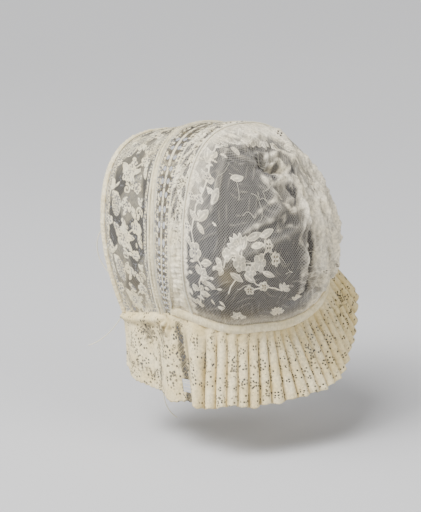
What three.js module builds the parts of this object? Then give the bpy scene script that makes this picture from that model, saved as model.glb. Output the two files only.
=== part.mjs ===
// Lace cap as it is worn: bands of lace round the face, a bag of embroidered net behind them,
// a drawn-in tape at the nape and a long frill set in tube pleats.
// Millimetres. +X is the wearer's left, -Y the face, +Z up. The origin is the inside of the top.

import * as THREE from 'three';
import { mergeVertices } from 'three/addons/utils/BufferGeometryUtils.js';

// Driving dimensions
const CLOTH_WALL = 1.2;
const TUCK_WALL = 1.6;
const FRILL_WALL = 2.2;
const SEWN_GAP = 0.3;
const TOP_HEIGHT = CLOTH_WALL;
const NECK_TAPE_WIDTH = 6.5;
// The tape starts and ends a little past the ears, keeps a few gaps from frill and net, and bulges
const NECK_TAPE_STARTS_AFTER = 0.004;
const NECK_TAPE_ENDS_AFTER = 0.02;
const NECK_TAPE_GAPS_BELOW = 3;
const NECK_TAPE_GAPS_ABOVE = 2;
const NECK_TAPE_BULGE = 0.5;
const BAND_SQUARENESS = 2.3;
const LOWEST_WIDE_LINE = 30;
// How late each border curves in to the neck, and each rib to the seam and the tape
const BAND_NECK_BEND = 1.6;
const SEAM_BEND = 1.5;
const RIB_NECK_BEND = 2;
const SIDE_RIB_EASE = 0.4;
const BAND_END = 2;
const NET_END = 2;
const BAND_CLEARANCE = 0.7;
const TUCK_RISE = 1.6;
const HEM_RISE = 0.8;
const THREAD_DIAMETER = 0.8;
const THREAD_SIDES = 8;
const THREAD_STEP = 3;

// Grids of the cloth walls, columns along each piece and rows across it
const BAND_COLUMNS = 40;
const CROWN_COLUMNS = 48;
const CROWN_ROWS = 12;
const NECK_TAPE_COLUMNS = 52;
const NECK_TAPE_ROWS = 2;

// Steps over which a surface's slope is taken
const BAND_PROBE = { place: 0.2, down: 0.004 };
const CROWN_PROBE = { direction: 0.1, down: 0.01 };
const FOLD_PROBE = { direction: 0.5, down: 0.01 };
const TAPE_PROBE = 0.002;
const FRILL_PROBE = 0.003;

// Each band border runs over the head from ear to ear.
// place: distance behind the face edge at the ear; the y columns say where the border lies at the
// top, the ear and the neck; half_width and its height are taken where the cap is widest
const BAND_BORDERS = [
  { name: 'face edge', place: 0, top_y: -93, ear_y: -81, neck_y: -69,
    top_z: -17, half_width: 70, wide_z: -80 },
  { name: 'hem', place: 6, top_y: -87, ear_y: -75, neck_y: -63.5,
    top_z: -15.5, half_width: 71.5, wide_z: -81 },
  { name: 'tuck front', place: 62, top_y: -41, ear_y: -19, neck_y: -20,
    top_z: -4.5, half_width: 79, wide_z: -87 },
  { name: 'tuck back', place: 70, top_y: -36, ear_y: -11, neck_y: -13,
    top_z: -3.5, half_width: 80, wide_z: -88 },
  { name: 'crown tape', place: 87, top_y: -9.5, ear_y: 6, neck_y: -6,
    top_z: 0.2, half_width: 81, wide_z: -89 },
  { name: 'net', place: 101, top_y: 5, ear_y: 20, neck_y: 12,
    top_z: TOP_HEIGHT, half_width: 80, wide_z: -90 },
];

// Ribs of the crown, from the left seam (-90 degrees) round the back to the right seam (90). They
// end on the neck tape; the cap sits askew, so its right side rides higher
const CROWN_RIBS = [
  { direction: -90, reach: 80, wide_z: -90, squareness: 2.3 },
  { direction: -70, reach: 80, wide_z: -93, squareness: 2.25 },
  { direction: -50, reach: 79, wide_z: -97, squareness: 2.2 },
  { direction: -25, reach: 78, wide_z: -101, squareness: 2.1 },
  { direction: 0, reach: 76, wide_z: -106, squareness: 1.95 },
  { direction: 20, reach: 75, wide_z: -109, squareness: 1.85 },
  { direction: 40, reach: 75, wide_z: -108, squareness: 1.75 },
  { direction: 55, reach: 75.5, wide_z: -100, squareness: 1.8 },
  { direction: 75, reach: 77, wide_z: -84, squareness: 1.95 },
  { direction: 90, reach: 80, wide_z: -78, squareness: 2.3 },
];

// Folds of the crown: each is a ridge (rise above 0) or a hollow between two places on the net;
// down is 0 at the top, 1 at the widest line and 2 at the tape
const CROWN_FOLDS = [
  { name: 'ridge into the knot', direction: -66, down: 0.36,
    to_direction: -33, to_down: 0.44, rise: 3.2, width: 5.5 },
  { name: 'ridge over the top', direction: -47, down: 0.34,
    to_direction: -16, to_down: 0.24, rise: 3, width: 5.5 },
  { name: 'peak', direction: 66, down: 0.3,
    to_direction: 26, to_down: 0.43, rise: 5.4, width: 7.5 },
  { name: 'pocket of the knot', direction: -28, down: 0.46,
    to_direction: 0, to_down: 0.48, rise: -6.8, width: 5.5 },
  { name: 'lip of the knot', direction: -26, down: 0.53,
    to_direction: -4, to_down: 0.55, rise: 3.4, width: 5.5 },
  { name: 'fall of the knot', direction: -27, down: 0.56,
    to_direction: -24, to_down: 0.7, rise: 3.5, width: 6.5 },
  { name: 'shoulder', direction: -62, down: 0.38,
    to_direction: -70, to_down: 0.74, rise: 2.2, width: 6.5 },
  { name: 'upper slant', direction: -9, down: 0.66,
    to_direction: -48, to_down: 0.83, rise: 3, width: 6.5 },
  { name: 'lower slant', direction: 0, down: 0.77,
    to_direction: -61, to_down: 0.98, rise: 3.2, width: 6.5 },
  { name: 'inner fall', direction: 4, down: 0.6,
    to_direction: -8, to_down: 1.35, rise: 3.8, width: 5.5 },
  { name: 'gap between falls', direction: 4, down: 0.84,
    to_direction: 1, to_down: 1.45, rise: -6.1, width: 5.5 },
  { name: 'outer fall', direction: 18, down: 0.68,
    to_direction: 13, to_down: 1.5, rise: 4.1, width: 6.5 },
  { name: 'edge fall', direction: 40, down: 0.67,
    to_direction: 29, to_down: 1.4, rise: 3.5, width: 6.5 },
  { name: 'right fall', direction: 62, down: 0.5,
    to_direction: 56, to_down: 1.3, rise: 3.2, width: 7.5 },
];
// Millimetres on the net for a degree, at the widest line and nearer the top, and along a rib
const WIDEST_MM_PER_DEGREE = 1.35;
const LEAST_SPREAD = 0.3;
const RIB_UPPER_MM = 130;
const RIB_LOWER_MM = 52;
const SEAM_DIRECTION = 90;
const GATHER_RISE = 1.5;
const GATHER_GROWTH = 1.5;
const GATHER_DEGREES = 15;
const GATHERS_FROM_DIRECTION = -25;
const GATHERS_FULL_DIRECTION = 15;
// Folds die away over this many degrees from the seam and this share of a rib from top and tape
const SEAM_FADE = 12;
const TOP_FADE = 0.15;
const TAPE_FADE = 0.12;
const FOLD_LEFT_AT_TAPE = 0.3;
// Slopes are taken this far from the top, the tape and the seams
const POLE_KEEP = 0.02;
const SEAM_KEEP = 0.1;

// The frill, from its left front corner round the nape to its right front corner: root is where it
// is sewn on, tip its lower edge
const FRILL_SECTIONS = [
  { name: 'left corner', root_x: 59, root_y: -69, root_z: -157, tip_x: 57, tip_y: -71, tip_z: -205 },
  { name: 'left front', root_x: 64, root_y: -45, root_z: -152, tip_x: 66, tip_y: -38, tip_z: -211 },
  { name: 'before left ear', root_x: 66.5, root_y: -20, root_z: -147, tip_x: 72, tip_y: -6.5, tip_z: -214 },
  { name: 'left ear', root_x: 66, root_y: -7, root_z: -145.5, tip_x: 72, tip_y: 12, tip_z: -214 },
  { name: 'behind left ear', root_x: 55, root_y: 22, root_z: -153, tip_x: 69, tip_y: 33, tip_z: -216 },
  { name: 'left nape', root_x: 45, root_y: 37, root_z: -157.5, tip_x: 60, tip_y: 50, tip_z: -213.5 },
  { name: 'nape turn', root_x: 22, root_y: 52, root_z: -158, tip_x: 33, tip_y: 65, tip_z: -216 },
  { name: 'nape', root_x: 0, root_y: 58, root_z: -159, tip_x: -2, tip_y: 81, tip_z: -213.5 },
  { name: 'right nape', root_x: -26, root_y: 60, root_z: -155, tip_x: -34, tip_y: 83, tip_z: -208 },
  { name: 'right turn', root_x: -46, root_y: 59, root_z: -146, tip_x: -60, tip_y: 75, tip_z: -194 },
  { name: 'behind right ear', root_x: -61, root_y: 51, root_z: -135, tip_x: -78, tip_y: 65.5, tip_z: -179 },
  { name: 'right flare', root_x: -73, root_y: 34, root_z: -114, tip_x: -98, tip_y: 49.5, tip_z: -152 },
  { name: 'right ear', root_x: -75, root_y: 5, root_z: -114.5, tip_x: -100, tip_y: 14, tip_z: -155 },
  { name: 'right front', root_x: -72, root_y: -30, root_z: -128, tip_x: -90, tip_y: -28, tip_z: -178 },
  { name: 'right corner', root_x: -60, root_y: -69, root_z: -150, tip_x: -66, tip_y: -70, tip_z: -196 },
];

// Pleats of the frill in the same order: width is along the lower edge, depth from hollow to crest
const FRILL_PLEATS = [
  { name: 'front wave', count: 1, width: 53, depth: 7, steps: 12 },
  { name: 'ear wave', count: 1, width: 40, depth: 9, steps: 12 },
  { name: 'first tube', count: 1, width: 18.5, depth: 9, steps: 6 },
  { name: 'tubes', count: 27, width: 10, depth: 6.4, steps: 6 },
  { name: 'right waves', count: 3, width: 27, depth: 8, steps: 8 },
];
const ROOT_SEARCH_STEPS = 30;
const ROOT_PLEAT_SHARE = 0.25;
const FULL_DEPTH_LEVEL = 0.77;
const FRILL_LEVELS = [0, 0.36, 0.73, 0.9, 1];
// The tear lies in the hollow before the first tube: it takes this many columns on each side
const TEAR = { before: 2, after: 1, level: 2 };

// The insertion is pierced with two rows of square holes
const HOLE_PAIRS = 32;
const HOLE_SHARE = 0.4;
const HOLE_ROWS = [0, 0.26, 0.4, 0.6, 0.74, 1];

// Loose threads, as points on their routes
const THREADS = [
  {
    name: 'edge_thread_loop',
    route: [
      [69.9, -81.2, -88],
      [70.4, -84.5, -94],
      [70.4, -86, -103],
      [69, -84, -114],
      [66.3, -76.7, -124.2],
    ],
  },
  {
    name: 'ear_thread',
    route: [
      [58.6, -69.8, -161.5],
      [60, -76, -170],
      [61.8, -84.5, -179.5],
      [63.5, -94, -187],
      [64.8, -104, -192.5],
    ],
  },
  {
    name: 'ruffle_thread',
    route: [
      [68.4, -13.5, -214.4],
      [67.4, -13, -220],
      [64.4, -12.5, -227],
      [59, -12.7, -233.5],
      [52.4, -13.5, -238.5],
    ],
  },
];

const COLOURS = {
  hem: 0xe2dcc4,
  lace: 0xe6e0cb,
  tuck: 0xe4decb,
  insertion: 0xe5e0ce,
  tape: 0xdfdac6,
  net: 0xcfcabb,
  neck: 0xddd6be,
  frill: 0xd9d0b0,
  thread: 0xe8e2d0,
};

// Smooth curve through the rows of a table: cubic pieces with three-point slopes
function smooth(rows, key, column, at) {
  const count = rows.length;
  let piece = 0;
  while (piece < count - 2 && at > rows[piece + 1][key]) {
    piece += 1;
  }
  const step = (i) => rows[i + 1][key] - rows[i][key];
  const rise = (i) => (rows[i + 1][column] - rows[i][column]) / step(i);
  const slope = (i) => {
    if (i === 0) {
      return rise(0);
    }
    if (i === count - 1) {
      return rise(count - 2);
    }
    const share = step(i) / (step(i) + step(i - 1));
    return rise(i - 1) * share + rise(i) * (1 - share);
  };
  const span = step(piece);
  const t = (at - rows[piece][key]) / span;
  const left = 1 - t;
  const start = rows[piece][column] * (1 + 2 * t) * left * left + slope(piece) * span * t * left * left;
  const end = rows[piece + 1][column] * t * t * (3 - 2 * t) - slope(piece + 1) * span * t * t * left;
  return start + end;
}

function clamp(value, low, high) {
  return Math.min(high, Math.max(low, value));
}

// Distance along the frill, as a share of its middle line
function frillPlaces() {
  const middle = FRILL_SECTIONS.map((row) => new THREE.Vector3(
    (row.root_x + row.tip_x) / 2, (row.root_y + row.tip_y) / 2, (row.root_z + row.tip_z) / 2));
  const places = [0];
  for (let i = 1; i < middle.length; i += 1) {
    places.push(places[i - 1] + middle[i].distanceTo(middle[i - 1]));
  }
  return places.map((place) => place / places.at(-1));
}

const FRILL_ROWS = frillPlaces().map((place, i) => ({ place, ...FRILL_SECTIONS[i] }));

function frillEdge(place, edge) {
  const value = (axis) => smooth(FRILL_ROWS, 'place', edge + axis, place);
  return new THREE.Vector3(value('_x'), value('_y'), value('_z'));
}

// The place on the frill where its root crosses a given y, on the left or the right side
function rootPlace(y, left) {
  const nape = FRILL_ROWS.find((row) => row.name === 'nape').place;
  let near = nape;
  let far = left ? 0 : 1;
  for (let i = 0; i < ROOT_SEARCH_STEPS; i += 1) {
    const middle = (near + far) / 2;
    if (frillEdge(middle, 'root').y > y) {
      near = middle;
    } else {
      far = middle;
    }
  }
  return (near + far) / 2;
}

const CROWN_TAPE_BORDER = BAND_BORDERS.find((row) => row.name === 'crown tape');
const NET_BORDER = BAND_BORDERS.find((row) => row.name === 'net');

// A point of the bands: place is the distance behind the face edge, down runs from the right neck
// (-2) over the top (0) to the left neck (2)
function bandPoint(place, down) {
  const value = (column) => smooth(BAND_BORDERS, 'place', column, place);
  const left = down > 0;
  const along = Math.abs(down);
  const neckY = value('neck_y');
  const root = frillEdge(rootPlace(neckY, left), 'root');
  const halfWidth = value('half_width');
  const wideZ = left ? value('wide_z') : Math.max(value('wide_z'), root.z + LOWEST_WIDE_LINE);
  let x;
  let y;
  let z;
  if (along <= 1) {
    const turn = (along * Math.PI) / 2;
    x = halfWidth * Math.sin(turn) ** (2 / BAND_SQUARENESS);
    y = value('top_y') + (value('ear_y') - value('top_y')) * Math.sin(turn) ** 2;
    z = wideZ + (value('top_z') - wideZ) * Math.max(0, Math.cos(turn)) ** (2 / BAND_SQUARENESS);
  } else {
    const low = along - 1;
    const aboveTape = place > CROWN_TAPE_BORDER.place ? NECK_TAPE_WIDTH : 0;
    x = halfWidth + (Math.abs(root.x) - halfWidth) * low ** 2;
    y = value('ear_y') + (neckY - value('ear_y')) * low ** BAND_NECK_BEND;
    z = wideZ + (root.z + aboveTape + BAND_CLEARANCE - wideZ) * low;
  }
  return new THREE.Vector3(left ? x : -x, y, z);
}

const LEFT_SEAM_PLACE = rootPlace(NET_BORDER.neck_y, true);
const RIGHT_SEAM_PLACE = rootPlace(NET_BORDER.neck_y, false);

// A point of the crown's smooth form
function crownForm(direction, down) {
  const value = (column) => smooth(CROWN_RIBS, 'direction', column, direction);
  const seam = NET_BORDER;
  const angle = THREE.MathUtils.degToRad(direction);
  const sideways = Math.abs(Math.sin(angle));
  const seamShift = (seam.ear_y - seam.top_y) * sideways ** SEAM_BEND;
  const wideX = -Math.sin(angle) * value('reach');
  const wideY = Math.cos(angle) * value('reach');
  if (down <= 1) {
    const turn = (down * Math.PI) / 2;
    const power = 2 / value('squareness');
    const out = Math.sin(turn) ** power;
    const fall = Math.max(0, Math.cos(turn)) ** power;
    return new THREE.Vector3(
      wideX * out,
      seam.top_y + seamShift * Math.sin(turn) ** 2 + wideY * out,
      value('wide_z') + (seam.top_z - value('wide_z')) * fall,
    );
  }
  const low = down - 1;
  const startY = seam.top_y + seamShift + wideY;
  const share = (direction + SEAM_DIRECTION) / (2 * SEAM_DIRECTION);
  const root = frillEdge(LEFT_SEAM_PLACE + (RIGHT_SEAM_PLACE - LEFT_SEAM_PLACE) * share, 'root');
  return new THREE.Vector3(
    wideX + (root.x - wideX) * low ** RIB_NECK_BEND,
    startY + (root.y - startY) * low ** (RIB_NECK_BEND - SIDE_RIB_EASE * sideways),
    value('wide_z') + (root.z + NECK_TAPE_WIDTH + SEWN_GAP - value('wide_z')) * low,
  );
}

function ribLength(down) {
  return down <= 1 ? RIB_UPPER_MM * down : RIB_UPPER_MM + RIB_LOWER_MM * (down - 1);
}

// Height of the folds and gathers above the smooth form; both die away at the seam
function crownRise(direction, down) {
  const turn = (Math.min(down, 1) * Math.PI) / 2;
  const spread = WIDEST_MM_PER_DEGREE * Math.max(LEAST_SPREAD, Math.sin(turn));
  let rise = 0;
  for (const fold of CROWN_FOLDS) {
    const alongX = (fold.to_direction - fold.direction) * spread;
    const alongY = ribLength(fold.to_down) - ribLength(fold.down);
    const offX = (direction - fold.direction) * spread;
    const offY = ribLength(down) - ribLength(fold.down);
    const share = clamp((offX * alongX + offY * alongY) / (alongX ** 2 + alongY ** 2), 0, 1);
    const distance = Math.hypot(offX - share * alongX, offY - share * alongY);
    rise += fold.rise * Math.exp(-((distance / fold.width) ** 2));
  }
  const gathered = clamp(
    (direction - GATHERS_FROM_DIRECTION) / (GATHERS_FULL_DIRECTION - GATHERS_FROM_DIRECTION), 0, 1);
  const wave = Math.cos((2 * Math.PI * direction) / GATHER_DEGREES);
  rise += GATHER_RISE * gathered * clamp(down - 1, 0, 1) ** GATHER_GROWTH * wave;
  const fromSeam = clamp((SEAM_DIRECTION - Math.abs(direction)) / SEAM_FADE, 0, 1);
  const fromTop = clamp(down / TOP_FADE, 0, 1);
  const fromTape = clamp((NET_END - down) / TAPE_FADE, FOLD_LEFT_AT_TAPE, 1);
  return rise * fromSeam * fromTop * fromTape;
}

// Unit vector that faces outward, from the slopes of a surface
function outward(surface, u, v, uStep, vStep) {
  const alongU = surface(u + uStep, v).sub(surface(u - uStep, v));
  const alongV = surface(u, v + vStep).sub(surface(u, v - vStep));
  return alongU.cross(alongV).normalize();
}

function crownPoint(direction, down) {
  if (down < POLE_KEEP) {
    return crownForm(direction, down);
  }
  const d = clamp(direction, SEAM_KEEP - SEAM_DIRECTION, SEAM_DIRECTION - SEAM_KEEP);
  const a = clamp(down, POLE_KEEP, NET_END - POLE_KEEP);
  const normal = outward(crownForm, d, a, CROWN_PROBE.direction, CROWN_PROBE.down).negate();
  return crownForm(direction, down).addScaledVector(normal, crownRise(direction, down));
}

function frillForm(place, level) {
  return frillEdge(place, 'root').lerp(frillEdge(place, 'tip'), level);
}

// Columns of the frill: each pleat starts at its hollow
function frillColumns() {
  const total = FRILL_PLEATS.reduce((sum, row) => sum + row.count * row.width, 0);
  const columns = [];
  let start = 0;
  for (const row of FRILL_PLEATS) {
    for (let i = 0; i < row.count; i += 1) {
      for (let step = 0; step < row.steps; step += 1) {
        const share = step / row.steps;
        columns.push({ place: (start + share * row.width) / total, phase: share, depth: row.depth });
      }
      start += row.width;
    }
  }
  columns.push({ place: 1, phase: 1, depth: FRILL_PLEATS.at(-1).depth });
  return columns;
}

// A cloth wall over a grid of points. point(i, j) is on the outside and inner(i, j) on the inside;
// a cell that hole(i, j) names is left out, and the wall closes round it
function clothWall(columns, rows, point, inner, hole = () => false) {
  const positions = [];
  const indices = [];
  const keys = new Map();
  const vertex = (p) => {
    const key = [p.x, p.y, p.z].map((n) => n.toFixed(3)).join(' ');
    if (!keys.has(key)) {
      keys.set(key, positions.length / 3);
      positions.push(p.x, p.y, p.z);
    }
    return keys.get(key);
  };
  const outer = [];
  const under = [];
  for (let i = 0; i <= columns; i += 1) {
    outer.push([]);
    under.push([]);
    for (let j = 0; j <= rows; j += 1) {
      outer[i].push(vertex(point(i, j)));
      under[i].push(vertex(inner(i, j)));
    }
  }
  const triangle = (a, b, c) => {
    if (a !== b && b !== c && a !== c) {
      indices.push(a, b, c);
    }
  };
  const quad = (a, b, c, d) => {
    triangle(a, b, c);
    triangle(a, c, d);
  };
  const solid = (i, j) => i >= 0 && j >= 0 && i < columns && j < rows && !hole(i, j);
  for (let i = 0; i < columns; i += 1) {
    for (let j = 0; j < rows; j += 1) {
      if (!solid(i, j)) {
        continue;
      }
      quad(outer[i][j], outer[i][j + 1], outer[i + 1][j + 1], outer[i + 1][j]);
      quad(under[i][j], under[i + 1][j], under[i + 1][j + 1], under[i][j + 1]);
      if (!solid(i - 1, j)) {
        quad(outer[i][j], under[i][j], under[i][j + 1], outer[i][j + 1]);
      }
      if (!solid(i + 1, j)) {
        quad(outer[i + 1][j + 1], under[i + 1][j + 1], under[i + 1][j], outer[i + 1][j]);
      }
      if (!solid(i, j - 1)) {
        quad(outer[i + 1][j], under[i + 1][j], under[i][j], outer[i][j]);
      }
      if (!solid(i, j + 1)) {
        quad(outer[i][j + 1], under[i][j + 1], under[i + 1][j + 1], outer[i + 1][j + 1]);
      }
    }
  }
  const geometry = new THREE.BufferGeometry();
  geometry.setAttribute('position', new THREE.Float32BufferAttribute(positions, 3));
  geometry.setIndex(indices);
  return geometry;
}

const group = new THREE.Group();

function addPiece(name, geometry, colour) {
  const material = new THREE.MeshStandardMaterial({ color: colour, roughness: 0.9, metalness: 0 });
  geometry.computeVertexNormals();
  const mesh = new THREE.Mesh(geometry, material);
  mesh.name = name;
  group.add(mesh);
}

// A strip of the bands between two places, with a rounded rise across it
function bandStrip({ from, to, downs, shares, wall, rise, hole }) {
  const start = from + SEWN_GAP / 2;
  const end = to - SEWN_GAP;
  const places = shares.map((share) => start + (end - start) * share);
  const raised = (i, j, lift) => {
    const normal = outward(bandPoint, places[j], downs[i], BAND_PROBE.place, BAND_PROBE.down);
    const bulge = rise * Math.sin(Math.PI * shares[j]);
    return bandPoint(places[j], downs[i]).addScaledVector(normal, bulge + lift);
  };
  const outer = (i, j) => raised(i, j, 0);
  const inner = (i, j) => raised(i, j, -wall);
  return clothWall(downs.length - 1, shares.length - 1, outer, inner, hole);
}

function evenShares(count) {
  return Array.from({ length: count + 1 }, (_, i) => i / count);
}

// Evenly spaced from the right neck over the top to the left neck
function bandDowns(count) {
  return evenShares(count).map((share) => BAND_END * (2 * share - 1));
}

function addBands() {
  const border = (name) => BAND_BORDERS.find((row) => row.name === name).place;
  const strips = [
    { name: 'front_hem', from: 'face edge', to: 'hem', rows: 2,
      wall: TUCK_WALL, rise: HEM_RISE, colour: COLOURS.hem },
    { name: 'front_lace_band', from: 'hem', to: 'tuck front', rows: 4,
      wall: CLOTH_WALL, rise: 0, colour: COLOURS.lace },
    { name: 'tuck_tape', from: 'tuck front', to: 'tuck back', rows: 3,
      wall: TUCK_WALL, rise: TUCK_RISE, colour: COLOURS.tuck },
    { name: 'crown_tape', from: 'crown tape', to: 'net', rows: 2,
      wall: CLOTH_WALL, rise: 0, colour: COLOURS.tape },
  ];
  for (const { name, from, to, rows, wall, rise, colour } of strips) {
    const strip = { from: border(from), to: border(to), wall, rise };
    addPiece(name, bandStrip({ ...strip, downs: bandDowns(BAND_COLUMNS), shares: evenShares(rows) }), colour);
  }
  addPiece('lace_insertion', insertionWall(border('tuck back'), border('crown tape')), COLOURS.insertion);
}

// Holes lie in every second column and in the second and fourth row across
function insertionWall(from, to) {
  const ends = bandDowns(1);
  const length = ends[1] - ends[0];
  const downs = [ends[0]];
  for (let pair = 0; pair < HOLE_PAIRS; pair += 1) {
    downs.push(ends[0] + (length * (pair + 0.5 - HOLE_SHARE / 2)) / HOLE_PAIRS);
    downs.push(ends[0] + (length * (pair + 0.5 + HOLE_SHARE / 2)) / HOLE_PAIRS);
  }
  downs.push(ends[1]);
  const hole = (i, j) => i % 2 === 1 && j % 2 === 1;
  return bandStrip({ from, to, downs, shares: HOLE_ROWS, wall: CLOTH_WALL, rise: 0, hole });
}

function addCrown() {
  const direction = (i) => SEAM_DIRECTION * ((2 * i) / CROWN_COLUMNS - 1);
  const down = (j) => (NET_END * j) / CROWN_ROWS;
  const point = (i, j) => crownPoint(direction(i), down(j));
  const inner = (i, j) => {
    if (j === 0) {
      return point(i, j).add(new THREE.Vector3(0, 0, -CLOTH_WALL));
    }
    const edge = SEAM_DIRECTION - FOLD_PROBE.direction;
    const d = clamp(direction(i), -edge, edge);
    const normal = outward(crownPoint, d, down(j), FOLD_PROBE.direction, FOLD_PROBE.down).negate();
    return point(i, j).addScaledVector(normal, -CLOTH_WALL);
  };
  addPiece('crown_net', clothWall(CROWN_COLUMNS, CROWN_ROWS, point, inner), COLOURS.net);
}

// The tape at the nape: it follows the frill's root from the left ear to the right one
function addNeckTape() {
  const first = FRILL_ROWS.find((row) => row.name === 'left ear').place + NECK_TAPE_STARTS_AFTER;
  const last = FRILL_ROWS.find((row) => row.name === 'right ear').place + NECK_TAPE_ENDS_AFTER;
  const at = (i) => first + ((last - first) * i) / NECK_TAPE_COLUMNS;
  const away = (i) => {
    const along = frillEdge(at(i) + TAPE_PROBE, 'root').sub(frillEdge(at(i) - TAPE_PROBE, 'root'));
    return along.cross(new THREE.Vector3(0, 0, 1)).negate().normalize();
  };
  const lowest = NECK_TAPE_GAPS_BELOW * SEWN_GAP;
  const highest = NECK_TAPE_WIDTH - NECK_TAPE_GAPS_ABOVE * SEWN_GAP;
  const height = (j) => lowest + ((highest - lowest) * j) / NECK_TAPE_ROWS;
  const bulge = (j) => NECK_TAPE_BULGE * (1 + Math.sin((Math.PI * j) / NECK_TAPE_ROWS));
  const point = (i, j) => frillEdge(at(i), 'root')
    .add(new THREE.Vector3(0, 0, height(j)))
    .addScaledVector(away(i), bulge(j));
  const inner = (i, j) => point(i, j).addScaledVector(away(i), -TUCK_WALL);
  addPiece('neck_tape', clothWall(NECK_TAPE_COLUMNS, NECK_TAPE_ROWS, point, inner), COLOURS.neck);
}

function addFrill() {
  const columns = frillColumns();
  const away = (place, level) => {
    const p = clamp(place, FRILL_PROBE, 1 - FRILL_PROBE);
    const along = frillForm(p + FRILL_PROBE, level).sub(frillForm(p - FRILL_PROBE, level));
    const down = frillEdge(p, 'tip').sub(frillEdge(p, 'root'));
    const facing = down.cross(along).normalize();
    facing.z *= level;
    return facing.normalize();
  };
  const raised = (i, j, lift) => {
    const { place, phase, depth } = columns[i];
    const level = FRILL_LEVELS[j];
    const opening = Math.sin((Math.PI / 2) * Math.min(1, level / FULL_DEPTH_LEVEL));
    const fullness = ROOT_PLEAT_SHARE + (1 - ROOT_PLEAT_SHARE) * opening;
    const wave = (depth / 2) * fullness * -Math.cos(2 * Math.PI * phase);
    const base = frillForm(place, level);
    base.z -= level === 0 ? SEWN_GAP : 0;
    return base.addScaledVector(away(place, level), wave + lift);
  };
  const point = (i, j) => raised(i, j, FRILL_WALL / 2);
  const inner = (i, j) => raised(i, j, -FRILL_WALL / 2);
  const hollow = FRILL_PLEATS[0].steps + FRILL_PLEATS[1].steps;
  const hole = (i, j) => j === TEAR.level && i >= hollow - TEAR.before && i < hollow + TEAR.after;
  const geometry = clothWall(columns.length - 1, FRILL_LEVELS.length - 1, point, inner, hole);
  addPiece('neck_ruffle', geometry, COLOURS.frill);
}

function addThreads() {
  for (const { name, route } of THREADS) {
    const path = new THREE.CatmullRomCurve3(route.map((p) => new THREE.Vector3(...p)), false, 'centripetal');
    const section = new THREE.Shape();
    for (let side = 0; side < THREAD_SIDES; side += 1) {
      const angle = (2 * Math.PI * side) / THREAD_SIDES;
      const x = (THREAD_DIAMETER / 2) * Math.cos(angle);
      const y = (THREAD_DIAMETER / 2) * Math.sin(angle);
      if (side === 0) {
        section.moveTo(x, y);
      } else {
        section.lineTo(x, y);
      }
    }
    const steps = Math.round(path.getLength() / (THREAD_STEP * THREAD_DIAMETER));
    const tube = new THREE.ExtrudeGeometry(section, { steps, extrudePath: path });
    tube.deleteAttribute('normal');
    tube.deleteAttribute('uv');
    addPiece(name, mergeVertices(tube), COLOURS.thread);
  }
}

addBands();
addCrown();
addNeckTape();
addFrill();
addThreads();

export default group;
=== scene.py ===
# %% [markdown]
# # A lace cap as it is worn
# The real cap is soft cloth, sewn by hand: a rolled hem, a band of figured lace, a tuck, a pierced
# insertion and a plain tape run over the head from ear to ear. Behind them hangs a bag of net with
# flowers worked on it, drawn in by a tape at the nape, and a long frill stands below the tape.
# Each strip could be carved from the solid part, but its solids are plain walls. So each one is
# made again here as a fine grid of points, laid on the same form, and it replaces its solid.

import math

import bmesh
import bpy
import numpy as np
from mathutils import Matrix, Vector


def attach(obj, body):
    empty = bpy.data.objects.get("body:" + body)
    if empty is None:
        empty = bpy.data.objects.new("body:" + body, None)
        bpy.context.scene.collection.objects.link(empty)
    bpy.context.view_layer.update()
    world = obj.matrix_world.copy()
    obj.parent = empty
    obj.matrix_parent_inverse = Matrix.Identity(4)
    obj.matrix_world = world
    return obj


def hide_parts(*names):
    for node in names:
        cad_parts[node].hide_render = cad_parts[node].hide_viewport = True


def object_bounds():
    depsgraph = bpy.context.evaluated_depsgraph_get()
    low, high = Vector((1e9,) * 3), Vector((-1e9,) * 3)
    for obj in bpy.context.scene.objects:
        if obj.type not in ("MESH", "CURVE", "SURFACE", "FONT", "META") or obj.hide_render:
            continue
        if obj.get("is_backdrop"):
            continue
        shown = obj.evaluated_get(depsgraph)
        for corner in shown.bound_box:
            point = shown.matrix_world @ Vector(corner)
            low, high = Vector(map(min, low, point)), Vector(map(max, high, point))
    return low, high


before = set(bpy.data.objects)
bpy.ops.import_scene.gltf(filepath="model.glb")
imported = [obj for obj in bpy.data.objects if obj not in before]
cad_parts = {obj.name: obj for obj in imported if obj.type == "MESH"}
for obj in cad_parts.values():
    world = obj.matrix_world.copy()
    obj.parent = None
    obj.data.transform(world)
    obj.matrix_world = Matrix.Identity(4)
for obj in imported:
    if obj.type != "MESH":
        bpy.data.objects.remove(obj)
cad_low, cad_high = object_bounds()
MM = 0.001
print("solids of the part:", sorted(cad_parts))
print("their box in mm:", [round(n / MM, 1) for n in (*cad_low, *cad_high)])

# %% [markdown]
# ## The camera
# It looks from behind the wearer's left ear, a little from above, with a long lens from well away,
# so that the near side of the cap isn't swollen. The small shift frames the cap as the photograph
# does.

# %% Camera
AZIMUTH, ELEVATION = math.radians(132), math.radians(14)
LOOK_AT = Vector((0, 0, -0.100))
DISTANCE = 1.6
level_reach = math.cos(ELEVATION)
sideways, behind = math.sin(AZIMUTH) * level_reach, -math.cos(AZIMUTH) * level_reach
back = Vector((sideways, behind, math.sin(ELEVATION)))
camera_data = bpy.data.cameras.new("camera")
camera_data.lens = 137.25
camera_data.sensor_width = 36
camera_data.shift_x, camera_data.shift_y = -0.042, -0.0215
camera = bpy.data.objects.new("camera", camera_data)
camera.location = LOOK_AT + back * DISTANCE
camera.rotation_euler = back.to_track_quat("Z", "Y").to_euler()
bpy.context.scene.collection.objects.link(camera)
bpy.context.scene.camera = camera
print("camera at", [round(n, 3) for n in camera.location])

# %% [markdown]
# ## Shader maths as plain expressions
# A lace pattern is a sum of small patterns. Written as separate nodes it can't be read, so one
# class wraps a socket: an operator on it adds the Math node, and any other node comes from the one
# method of Finish, which sets the node up and links its sockets.

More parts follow.
